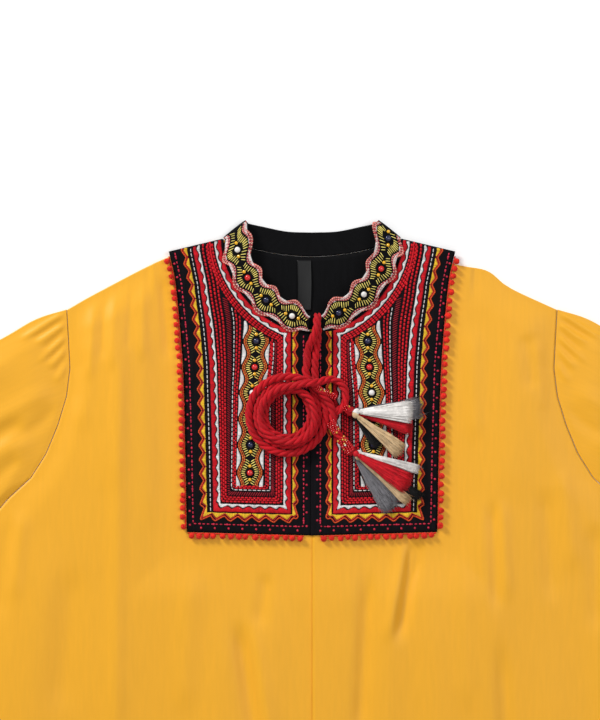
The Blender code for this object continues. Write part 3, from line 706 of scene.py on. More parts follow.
WOUND_LEFT = (
    (44, 41.5, 0.6), (28, 39.2, 0), (8, 38.5, 0), (-14, 38.5, 0), (-36, 38.5, 0), (-58, 38.5, 0),
    (-80, 38.5, 0), (-102, 38.5, 0), (-124, 38.5, 0), (-146, 38.5, 0), (-168, 38.5, 0),
    (-190, 38.5, 0), (-212, 38.5, 0.2), (-234, 38.4, 1.0), (-254, 38.2, 3.0), (-272, 38.2, 5.2),
    (-290, 38.4, 6.5), (-308, 39.2, 6.6), (-326, 40.6, 5.6), (-342, 42.8, 3.6), (-356, 45.2, 1.8),
)
DROP_RIGHT = (
    (5.5, -74.0, 2.0), (5.0, -80.0, 5.5), (4.4, -88.0, 8.0), (1.0, -98.0, 6.6), (-3.9, -110.0, 1.5),
    (-5.0, -123.0, 0.5), (-6.0, -133.0, 1.2),
)
DROP_LEFT = ((5.8, -86.5, 0.0), (5.5, -98.0, 0.0), (4.1, -110.0, 0.0), (2.9, -123.0, 0.0), (3.0, -136.0, 1.0))
LOOP = (
    (10.6, -141.2, 5.0), (18.0, -139.6, 1.6), (27.0, -142.6, 0.0), (33.0, -151.0, 0.0),
    (32.8, -162.0, 0.0), (28.0, -169.6, 0.0), (21.5, -172.8, 1.0),
)
END_LOWER = ((21.2, -187.0, 1.0), (26.0, -194.5, 0.5), (30.5, -200.8, 0.0), (34.6, -206.2, 1.2))


def wound(table):
    """Points of a wound stretch from angles, radii and heights round the coil's centre."""
    degrees, radius, height = np.array(table, float).T
    turn = np.radians(degrees)
    x, y = COIL_CENTRE
    return np.stack([x + radius * np.cos(turn), y + radius * np.sin(turn), height], -1)


def rope(name, stretches, nodes):
    """A cord of three plies: each ply circles the centre line once every 26 mm, in its own tube."""
    route = np.concatenate(stretches) + [0, 0, LOW]
    length = np.linalg.norm(np.diff(route, axis=0), axis=1).sum()
    centre = along(route, np.linspace(0, 1, int(length / 1.5)))
    run = np.concatenate([[0], np.cumsum(np.linalg.norm(np.diff(centre, axis=0), axis=1))])
    _, side, lift = bearings(centre)
    plies = []
    for ply in range(3):
        turn = 2 * np.pi * (run / 26.0 + ply / 3)
        reach = 2.1 * (1 + 0.05 * np.sin(run / 5.3 + ply))
        plies.append(centre + reach[:, None] * (np.cos(turn)[:, None] * side + np.sin(turn)[:, None] * lift))
    radius = 1.98 + 0.08 * np.sin(run / 3.7)
    radius[[0, -1]] = 0.02
    radius[[1, -2]] = 1.4
    points, faces = tubes(np.stack(plies), np.broadcast_to(radius, (3, len(centre))), 12)
    round_ply = np.abs(np.arange(12) - 6) / 6 * 0.008
    along_uv = run[None, :, None] * 0.00015 + np.zeros((3, 1, 1))
    uv = np.stack(np.broadcast_arrays(round_ply[None, None], along_uv), -1)
    made = piece(name, points, faces, ROPE, uv=uv.reshape(-1, 2))
    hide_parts(*nodes)
    print(name, "length", round(float(run[-1]), 1))
    return made


KNOTS = {"loop": (21.4, -156.6, 4.4), "upper": (38.8, -171.6, 5.4), "lower": (39.5, -211.0, 5.4)}
TASSELS = (
    ("upper", "grey", 3.0, 10.0, 74.0, 0, 5.0),
    ("upper", "black", -50.0, 8.0, 46.0, 0, 4.0),
    ("upper", "red", -17.0, 4.5, 64.0, 1, 4.0),
    ("upper", "white", 0.0, 11.0, 62.0, 2, 4.0),
    ("upper", "beige", -38.0, 7.0, 66.0, 2, 4.5),
    ("lower", "grey", -55.0, 10.0, 74.0, 0, 3.0),
    ("lower", "white", -15.5, 4.0, 70.0, 0, 4.0),
    ("lower", "black", -34.0, 3.5, 86.0, 0, 13.0),
    ("lower", "beige", -41.5, 3.5, 77.0, 1, 5.0),
    ("lower", "red", -30.0, 10.0, 68.0, 2, 3.0),
)
YARNS = {
    "white": srgb(240, 236, 232),
    "beige": srgb(214, 184, 142),
    "grey": srgb(128, 126, 130),
    "red": srgb(206, 18, 34),
    "black": srgb(20, 18, 19),
}
WAVY = {"white": 0.5, "beige": 1.1, "grey": 2.6, "red": 1.0, "black": 1.8}


def tassel(order, knot, yarn, direction, spread, length, layer, neck):
    """A tassel: a ribbed head, a binding and a fan of fine strands that lie in locks.

    Each strand starts in the binding, runs out near its lock's angle, bows sideways by two slow sines
    that grow with its distance, and keeps to a flat bundle whose height swells by a half sine.
    """
    chance = np.random.default_rng(400 + order)
    x, y, radius = KNOTS[knot]
    middle = np.array([x, y])
    turn = math.radians(direction)
    way = np.array([math.cos(turn), math.sin(turn)])
    z = COIL_BASE + 2.0 + SEAM_GAP + 4.4 * layer
    off = z - COIL_BASE - radius
    near = math.sqrt((radius + SEAM_GAP + 0.8 * min(1.0, abs(off) / radius)) ** 2 - off**2)
    head = near + neck
    count, stations, locks = 340, 9, 13
    apex = middle + way * (head - 2.0)
    reach = length - head + 2.0
    ragged = {"white": 0.03, "beige": 0.05, "red": 0.05, "grey": 0.1, "black": 0.09}[yarn]
    lock = chance.integers(0, locks, count)
    gather = {"white": 0.5, "beige": 0.7, "red": 0.6, "grey": 0.8, "black": 0.8}[yarn]
    middles = np.linspace(-1, 1, locks) + chance.normal(0, 0.05, locks)
    spot = gather * middles[lock] + (1 - gather) * chance.uniform(-1, 1, count)
    spot = spot + chance.normal(0, 0.04, count)
    fan = np.radians(spread) * spot
    level = chance.uniform(-1, 1, count)
    far = reach * (1.01 - np.abs(chance.normal(0, ragged, count)) - 0.5 * ragged * chance.random(locks)[lock])
    stray = chance.random(count) < 0.03
    far = np.where(stray, far * 1.06, far)
    share = np.linspace(0, 1, stations)
    distance = 4.0 + (far[:, None] - 4.0) * share
    slow, quick = chance.random(locks)[lock], chance.random(count)
    bow = WAVY[yarn] * (1 + 1.6 * stray)[:, None] * (distance / reach) ** 1.4
    bow = bow * (
        0.75 * np.sin(2 * np.pi * (0.8 * share + slow[:, None]))
        + 0.45 * np.sin(2 * np.pi * (1.7 * share + quick[:, None]))
    )
    angle = turn + fan[:, None] * (1 + 0.05 * share)
    flat = np.stack([np.cos(angle), np.sin(angle)], -1)
    across = np.stack([-flat[..., 1], flat[..., 0]], -1)
    start_width = 1.5 * spot[:, None] * (1 - 0.6 * share)
    plan = apex + flat * distance[..., None] + across * (bow + start_width)[..., None]
    belly = 1.0 + 1.0 * np.sin(np.pi * np.clip(distance / reach, 0, 1) ** 0.8)
    belly = belly * (1 - 0.45 * np.abs(spot).clip(0, 1))[:, None]
    height = z + level[:, None] * belly + chance.normal(0, 0.12, count)[:, None]
    paths = np.concatenate([plan, height[..., None]], -1)
    thick = np.interp(share, [0, 0.15, 0.9, 1], [0.34, 0.46, 0.38, 0.03])
    points, faces = tubes(paths, np.broadcast_to(thick, (count, stations)), 3)
    tone = chance.normal(1.0, 0.08, count).clip(0.75, 1.2)
    dye = np.repeat(YARNS[yarn] * tone[:, None], stations * 3, axis=0)
    # Head: a ribbed bulb where the strands turn over the cord, then the binding and the neck
    lumps = np.linspace(0, 1, 40)
    bulb_way = near - 0.8 + (head + 2.2 - near) * lumps
    bulb = np.column_stack([middle + way * bulb_way[:, None], np.full(40, z)])
    _, side, lift = bearings(bulb)
    turns = 2 * np.pi * np.arange(28) / 28
    bulge = np.sin(np.pi * np.clip(0.04 + 0.92 * lumps, 0, 1)) ** 0.5
    rib = 1 + 0.07 * np.cos(turns * 9)
    wide, high = 3.1 * bulge[:, None] * rib, 1.95 * bulge[:, None] * rib
    ring = (wide * np.cos(turns))[..., None] * side[:, None]
    ring = ring + (high * np.sin(turns))[..., None] * lift[:, None]
    bands = [((bulb[:, None] + ring).reshape(-1, 3), grid(40, 28, closed=True))]
    body = np.column_stack([middle + way * (head + 0.6 + 4.2 * lumps)[:, None], np.full(40, z)])
    body_radius = 2.15 * np.sin(np.pi * np.clip(lumps * 0.97 + 0.015, 0, 1)) ** 0.25
    body_radius = body_radius + 0.16 * np.sin(2 * np.pi * 5 * lumps)
    bands.append(tubes(body[None], body_radius[None], 12))
    stem = np.column_stack([middle + way * np.linspace(near - 1.5, near + 2, 8)[:, None], np.full(8, z)])
    bands.append(tubes(stem[None], np.full((1, 8), 0.75), 7))
    all_points, all_faces, all_dye = [points], [faces], [dye]
    for extra_points, extra_faces in bands:
        all_faces.append(extra_faces + sum(len(p) for p in all_points))
        all_points.append(extra_points)
        all_dye.append(np.tile(YARNS[yarn] * 0.95, (len(extra_points), 1)))
    made = piece(
        f"tassel_{knot}_{yarn}_strands", np.concatenate(all_points), np.concatenate(all_faces), YARN,
        dye=np.concatenate(all_dye),
    )
    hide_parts(f"tassel_{knot}_{yarn}")
    return made


def knot(name, x, y, radius):
    """A knot: a ball whose radius follows turns of yarn wound across one another."""
    points, tris = ball(36, 24)
    polar, turn = np.arccos(points[:, 2].clip(-1, 1)), np.arctan2(points[:, 1], points[:, 0])
    lumps = 0.07 * np.sin(5 * polar + 2 * turn) + 0.05 * np.sin(4 * turn - 3 * polar)
    points = points * (1.0 + lumps - 0.06)[:, None] * [1.0, 0.92, 0.9] * radius + [x, y, COIL_BASE + radius]
    made = piece("wound_knot_" + name, points, tris, KNOTTED)
    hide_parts("knot_" + name)
    return made


def bead_string(name, route, rings, around, girth, radius, colours, seed):
    """Seed beads wound round a cord: rings of beads at steps along a path, each ring turned a little."""
    chance = np.random.default_rng(seed)
    route = np.array(route, float)
    share = (np.arange(rings) + 0.5) / rings
    centre = along(route, share)
    way = unit(along(route, np.minimum(share + 0.02, 1)) - along(route, np.maximum(share - 0.02, 0)))
    side = unit(np.cross(way, [0, 0, 1.0]))
    lift = np.cross(side, way)
    turn = 2 * np.pi * (np.arange(around) / around) + (np.arange(rings) * 0.5)[:, None]
    out = np.cos(turn)[..., None] * side[:, None] + np.sin(turn)[..., None] * lift[:, None]
    centres = (centre[:, None] + out * girth).reshape(-1, 3)
    centres += chance.normal(0, 0.12, centres.shape)
    frames = np.broadcast_to(np.eye(3), (len(centres), 3, 3))
    points, tris = scatter(SEED, centres, frames, np.full(3, radius))
    pick = chance.choice(len(colours), len(centres), p=[0.84, 0.11, 0.05])
    dye = np.repeat(np.array(colours)[pick], len(SEED[0]), axis=0)
    return piece(name, points, tris, GLASS, dye=dye)


SEED_COLOURS = (srgb(205, 22, 30), srgb(226, 168, 70), srgb(235, 225, 210))


def tie():
    """Both cords of the tie, their knots, bead windings and tassels."""
    knots = {name: knot(name, *place) for name, place in KNOTS.items()}
    fringes = {"upper": [], "lower": []}
    for order, facts in enumerate(TASSELS):
        fringes[facts[0]].append(tassel(order, *facts))
    low = LOW
    loop_beads = bead_string(
        "beads_loop",
        [(3.5, -146.5, low + 9.5), (10, -151, low + 6), (17, -154, low + 4.6), (24, -158, low + 4)],
        11, 7, 2.3, 1.05, SEED_COLOURS, 11,
    )
    cap_beads = bead_string(
        "beads_loop_end", [(31.5, -166.5, low + 0.5), (35, -169, low + 0.5), (39, -172, low + 0.8)],
        5, 7, 3.3, 1.1, SEED_COLOURS, 12,
    )
    stack = bead_string(
        "beads_lower_stack",
        [(18.0, -181.5, low + 1.5), (21.2, -187.0, low + 1.0), (25.0, -193.0, low + 0.6)],
        7, 9, 4.0, 1.15, SEED_COLOURS, 13,
    )
    stack_two = bead_string(
        "beads_lower_stack_two",
        [(28.5, -198.5, low + 0.2), (33.0, -204.0, low + 1.0), (39.5, -211.5, low + 1.5)],
        9, 10, 4.3, 1.15, SEED_COLOURS, 14,
    )
    rope(
        "tie_right_cord", (DROP_RIGHT, wound(WOUND_RIGHT), LOOP), ("tie_drop_right", "tie_coil", "tie_loop"),
    )
    rope(
        "tie_left_cord", (DROP_LEFT, wound(WOUND_LEFT), END_LOWER), ("tie_drop_left", "tie_end_lower"),
    )


tie()

# ---- Satin pieces


def front(side):
    """One front: the body plan in (s, v), raised by the puff, a broad swell, the folds and the creases."""
    word = "left" if side > 0 else "right"
    s = np.linspace(0, 1, 112)
    v = np.linspace(0, 1, 190) ** 1.25
    s, v = np.meshgrid(s, v)
    plan = body_plan(side, lambda q: neck_curve(*NECK, q), 10, 20, 12, s, v)
    lap = SEAM_GAP if side > 0 else 28.0
    x = plan[..., 0] * side - SEAM_GAP * side * s + lap * np.maximum(0, 1 - plan[..., 0] / 60) ** 2
    y = plan[..., 1]
    shoulder = np.where(np.abs(x) < 160, 1.0, smooth(v / 0.05))
    edge = smooth((1 - s) / 0.12) * smooth((1 - v) / 0.05) * shoulder
    clear = bib_clearance(x, y)
    settled = CLOTH + SEAM_GAP
    base = settled + (PUFF - settled) * np.maximum(edge, 1 - smooth(clear / 18))
    free = smooth((clear - 13) / 30) * (0.25 + 0.75 * edge)
    rolls = (
        np.sin(x / 41 + y / 170 + 0.6) + 0.8 * np.sin(x / 67 - y / 90 + 2.1) + 0.6 * np.sin(x / 29 - y / 240)
    )
    swell = (2.6 + 0.95 * rolls) * smooth((clear - 12) / 55) * edge
    folds = np.minimum(ridges(x, y, FOLDS), 2.2) * free
    creases = 1.6 * ridges(x, y, CREASES) * smooth((clear - 3) / 10) * (0.2 + 0.8 * edge)
    placket = -0.3 * np.exp(-(((x - 33.0) / 1.8) ** 2)) * smooth((BIB_BOTTOM_Y - y) / 10)
    under = np.maximum(base + folds + swell + creases + placket, settled) + underlap(side, x)
    top = np.stack([x, y - SEAM_GAP, under + CLOTH], -1)
    low = np.stack([x, y - SEAM_GAP, under], -1)
    points, faces = shell(top, low)
    made = piece("satin_front_" + word, points, faces, SATIN, uv=sheet_uv(top))
    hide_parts("front_" + word)
    return made


def back():
    """The back, flat on the floor: the body plan mirrored about its middle."""
    u, v = np.meshgrid(np.linspace(0, 1, 60), np.linspace(0, 1, 70))
    share = np.abs(2 * u - 1)
    halves = [body_plan(side, back_neck, 5, 7, 5, share, v) for side in (-1, 1)]
    plan = np.where((u < 0.5)[..., None], halves[0], halves[1])
    sign = np.where(u < 0.5, -1.0, 1.0)
    x, y = sign * (plan[..., 0] - SEAM_GAP * share), plan[..., 1] - SEAM_GAP
    flat = np.zeros_like(x)
    top, low = np.stack([x, y, flat + CLOTH], -1), np.stack([x, y, flat], -1)
    points, faces = shell(top, low)
    made = piece("satin_back", points, faces, SATIN, uv=sheet_uv(top))
    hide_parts("back")
    return made


def sleeve(side):
    """A sleeve lying flat: rings in (across, along) from the armhole to the cuff, with its gathers."""
    word = "left" if side > 0 else "right"
    k = np.linspace(0, 1, 84) ** 1.5
    t = np.linspace(0, 1, 84) ** 1.25
    t, k = np.meshgrid(t, k)
    upper, lower = along(SLEEVE_UPPER, k), along(SLEEVE_LOWER, k)

    def place(q):
        straight = upper + (lower - upper) * q[..., None]
        bent = armhole(q) + (upper - ARMHOLE[0]) * (1 - q[..., None])
        bent = bent + (lower - np.array(UNDERARM)) * q[..., None]
        return straight + (bent - straight) * (1 - smooth(k / 0.45))[..., None]

    plan = place(t)
    edge = smooth(np.minimum(t, 1 - t) / 0.12)
    gather = ridges(plan[..., 0], plan[..., 1], GATHERS) * smooth(k / 0.015) * smooth(t / 0.02)
    creases = ridges(plan[..., 0], plan[..., 1], SLEEVE_CREASES) * edge * smooth(k / 0.05)
    rise = 2.8 * edge * smooth(k / 0.1) + 0.5 * smooth(k / 0.02) * smooth(t / 0.04) * smooth((1 - t) / 0.04)
    height = 2 * CLOTH + SEAM_GAP + np.maximum(rise + gather + creases, 0.0)
    x, y = side * (plan[..., 0] + SEAM_GAP), plan[..., 1]
    outside = np.stack([x, y, height], -1)
    below = np.stack([x, y, np.zeros_like(x)], -1)[:, ::-1]
    inset = CLOTH / np.linalg.norm(lower - upper, axis=-1)
    inner_plan = place(inset + (1 - 2 * inset) * t)
    ix, iy = side * (inner_plan[..., 0] + SEAM_GAP), inner_plan[..., 1]
    inside = np.stack([ix, iy, height - CLOTH * 0.9], -1)
    inside_below = np.stack([ix, iy, np.full_like(x, CLOTH)], -1)[:, ::-1]
    outer = np.concatenate([outside, below], 1)
    inner = np.concatenate([inside, inside_below], 1)
    rows, columns = outer.shape[:2]
    skin = grid(rows, columns, closed=True)
    count = rows * columns
    ring = np.arange(columns)
    ahead = np.roll(ring, -1)
    last = (rows - 1) * columns
    mouth = np.stack([ahead, ring, ring + count, ahead + count], -1)
    cuff = np.stack([ring + last, ahead + last, ahead + last + count, ring + last + count], -1)
    faces = np.concatenate([skin, skin[:, ::-1] + count, mouth, cuff])
    cloth_uv = np.stack([t * 0.24, k * 0.5], -1)
    around = np.concatenate([cloth_uv, cloth_uv[:, ::-1] * [-1, 1] + [0.5, 0]], 1).reshape(-1, 2)
    made = piece(
        "satin_sleeve_" + word, np.concatenate([outer.reshape(-1, 3), inner.reshape(-1, 3)]), faces, SATIN,
        uv=np.concatenate([around, around]), weld=True,
    )
    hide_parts("sleeve_" + word)
    return made


# ---- Bib and collar


# Depth below the neck point, and distance from the centre
COLUMN_MIDDLE = ((66, 53.2), (101.5, 55.6), (127, 57.2), (152, 59.5), (205, 61.3), (233, 62.0), (248, 62.4))


def column_x(y):
    """Distance from the centre front to the middle of the medallion column at height y."""
    return np.interp(-y, [p[0] for p in COLUMN_MIDDLE], [p[1] for p in COLUMN_MIDDLE])


def graded(start, stop, near, far, counts):
    """Steps from start to stop that pass near and far on the way, so that nested lines match between them."""
    parts = [
        np.linspace(start, near, counts[0], endpoint=False),
        np.linspace(near, far, counts[1], endpoint=False),
    ]
    return np.concatenate(parts + [np.linspace(far, stop, counts[2])])


def u_line(side, outer, bottom, centre, neck):
    """A line round a bib half at four offsets: down its side, along its bottom, up to and round the neck.

    Down the side, the inner offsets grow with the room between the bib's edge and the medallion
    column; up the centre, they shrink beside the column's top.
    """
    floor_y = BIB_BOTTOM_Y + bottom
    y = graded(-4, floor_y, -30, -236, (10, 70, 14))
    room = np.minimum(bib_half_width(y) - column_x(y) - 14.0 - 53.8, 11)
    spread = max(0.0, outer - 34) / 20 * room * 0.9 - min(1.0, outer / 30) * 2.8 * smooth((y + 95) / 50)
    down = np.stack([bib_half_width(y) - outer - spread, y], -1)
    corner = np.array([down[-1, 0], floor_y + 0.028 * down[-1, 0]])
    down[:, 1] += (corner[1] - floor_y) * np.linspace(0, 1, len(y)) ** 6
    x = graded(corner[0], centre, 74, 48, (14, 20, 14))[1:]
    across = np.stack([x, floor_y + 0.028 * x], -1)
    start = (np.clip(centre / (NECK[0] + neck), 0, 1)) ** (1 / NECK_POWER)
    share = np.linspace(np.arcsin(start) * 2 / np.pi, 1, 60)
    around = neck_curve(NECK[0] + neck, NECK[1] + neck, share)
    rise = graded(across[-1, 1], around[0, 1], -236, -122, (12, 40, 10))[1:]
    squeeze = max(0.0, centre - 28.7) / 18.3 * 5.2 * smooth((rise + 165) / 60)
    up = np.stack([centre - squeeze, rise], -1)
    line = np.concatenate([down, across, up, around[1:]])
    x = side * line[:, 0]
    return np.column_stack([x, line[:, 1], bib_face(side, x)])


class Band:
    """A strip between two matching lines: tau runs along its middle in millimetres, w across from 0 to 1."""

    def __init__(self, first, second):
        self.first, self.second = first, second
        middle = (first + second) / 2
        self.at = np.concatenate([[0], np.cumsum(np.linalg.norm(np.diff(middle, axis=0), axis=1))])
        self.length = self.at[-1]

    def lay(self, tau, w, lift=0.0):
        """Points and upward normals of the strip at (tau, w), raised by lift."""
        tau, w = np.broadcast_arrays(np.asarray(tau, float), np.asarray(w, float))
        where = np.interp(tau, self.at, np.arange(len(self.at)))
        i = np.minimum(where.astype(int), len(self.at) - 2)
        part = (where - i)[..., None]
        a = self.first[i] + (self.first[i + 1] - self.first[i]) * part
        b = self.second[i] + (self.second[i + 1] - self.second[i]) * part
        way = self.first[i + 1] - self.first[i] + self.second[i + 1] - self.second[i]
        normal = unit(np.cross(way, b - a))
        normal = normal * np.sign(normal[..., 2:3])
        return a + (b - a) * w[..., None] + normal * lift, normal

    def steps(self, pitch, start=0.0, end=None):
        """Places along the strip, a pitch apart."""
        end = self.length if end is None else end
        count = max(1, int((end - start) / pitch))
        return start + (np.arange(count) + 0.5) * (end - start) / count


PINK, RED = srgb(205, 45, 72), srgb(204, 20, 34)
ORANGE, YELLOW, WHITE = srgb(214, 78, 36), srgb(236, 190, 48), srgb(228, 226, 224)
CREAM, SALMON, ROSE = srgb(255, 236, 128), srgb(214, 100, 96), srgb(240, 176, 160)
NAVY, BEAD_RED = srgb(24, 30, 66), srgb(216, 30, 32)
PEARL, BEAD_YELLOW = srgb(238, 236, 232), srgb(240, 180, 32)


def shades(colour, count, chance, spread=0.1):
    """A colour repeated with a small change of lightness from stitch to stitch."""
    return colour * (1 + chance.normal(0, spread, count)).clip(0.6, 1.35)[:, None]


def running(work, band, w, long, pitch, half, high, colour, chance, shift=0.0, start=0.0, end=None):
    """A row of stitches end to end along a strip at w."""
    tau = band.steps(pitch, start, end) + shift * pitch
    a, normal = band.lay(tau - long / 2, w, 0.12)
    b, _ = band.lay(tau + long / 2, w, 0.12)
    work.add(a, b, normal, half, high, shades(colour, len(tau), chance))


def filled(work, band, low, high_w, pitch, colour, chance, half=None, start=0.0, end=None, slant=0.0):
    """Satin stitch across a strip: each stitch runs from w = low(tau) to high(tau)."""
    tau = band.steps(pitch, start, end)
    w0 = low(tau) if callable(low) else np.full(len(tau), low)
    w1 = high_w(tau) if callable(high_w) else np.full(len(tau), high_w)
    a, normal = band.lay(tau - slant, w0, 0.1)
    b, _ = band.lay(tau + slant, w1, 0.1)
    ok = np.linalg.norm(b - a, axis=1) > 0.7
    work.add(a[ok], b[ok], normal[ok], half or pitch * 0.58, 0.34, shades(colour, int(ok.sum()), chance))


def zigzag(work, band, pitch, colour, w_out, w_in, half, chance):
    """A zigzag of stitches between w_out and w_in, four to each slope."""
    tau = band.steps(pitch / 8)
    phase = (tau / pitch) % 1.0
    step = pitch / 8 * 0.62

    def w_at(t):
        return w_out + (w_in - w_out) * np.abs(2 * ((t / pitch) % 1.0) - 1)

    a, normal = band.lay(tau - step, w_at(tau - step), 0.2)
    b, _ = band.lay(tau + step, w_at(tau + step), 0.2)
    work.add(a, b, normal, half, 0.36, shades(colour, len(tau), chance))
    return phase


def medallions(work, band, beads, base, swing, edges, chance, start, end):
    """A chain of almond medallions: a scalloped outline of short stitches across it, radial stitches within.

    The outline's distance from the middle line is base + swing cos(2 pi phase), where the phase is a
    whole number at each bead. Returns that distance as a function of tau.
    """
    index = np.arange(len(beads), dtype=float)
    slope = 1 / np.mean(np.diff(beads))

    def half_width(tau):
        phase = np.interp(tau, beads, index)
        phase = np.where(tau < beads[0], (tau - beads[0]) * slope, phase)
        phase = np.where(tau > beads[-1], index[-1] + (tau - beads[-1]) * slope, phase)
        return base + swing * np.cos(2 * np.pi * phase)

    wide = float(np.linalg.norm(band.lay(np.array([start]), 1.0)[0] - band.lay(np.array([start]), 0.0)[0]))
    for sign in (-1, 1):
        for colour, inner, outer, half in edges:
            tau = band.steps(1.25, start, end)
            reach = half_width(tau)
            a, normal = band.lay(tau, 0.5 + sign * (reach - inner) / wide, 0.1)
            b, _ = band.lay(tau, 0.5 + sign * (reach - outer) / wide, 0.1)
            other = colour[np.arange(len(tau)) % len(colour)]
            work.add(a, b, normal, half, 0.42, other * (1 + chance.normal(0, 0.1, len(tau)))[:, None])
        tau = band.steps(2.35, start, end)
        reach = half_width(tau) - 3.6
        near = beads[np.argmin(np.abs(tau[:, None] - beads[None]), axis=1)]
        away = near - tau
        lean = np.clip(away, -9, 9) * 0.3
        stop = np.maximum(reach - 4.4, np.where(np.abs(away) < 5, 3.5, 0.6))
        a, normal = band.lay(tau, 0.5 + sign * reach / wide, 0.12)
        b, _ = band.lay(tau + lean, 0.5 + sign * stop / wide, 0.12)
        work.add(a, b, normal, 0.44, 0.42, shades(CREAM, len(tau), chance, 0.1))
    return half_width


def big_beads(name, centres, normals, colours, ways, radius):
    """Round beads with a smaller yellow bead on either side along the chain."""
    side = np.cross(normals, ways)
    frames = np.stack([ways, side, normals], 1)
    spots = np.concatenate([centres, centres + ways * 6.8, centres - ways * 6.8])
    spots = spots + np.tile(normals, (3, 1)) * 0.6
    sizes = np.concatenate([np.full(len(centres), radius), np.full(2 * len(centres), radius * 0.58)])
    scale = sizes[:, None] * [1, 1, 0.62]
    points, tris = scatter(BALL, spots, np.tile(frames, (3, 1, 1)), scale)
    dye = np.concatenate([np.array(colours), np.tile(BEAD_YELLOW, (2 * len(centres), 1))])
    return piece(name, points, tris, GLASS, dye=np.repeat(dye, len(BALL[0]), axis=0))


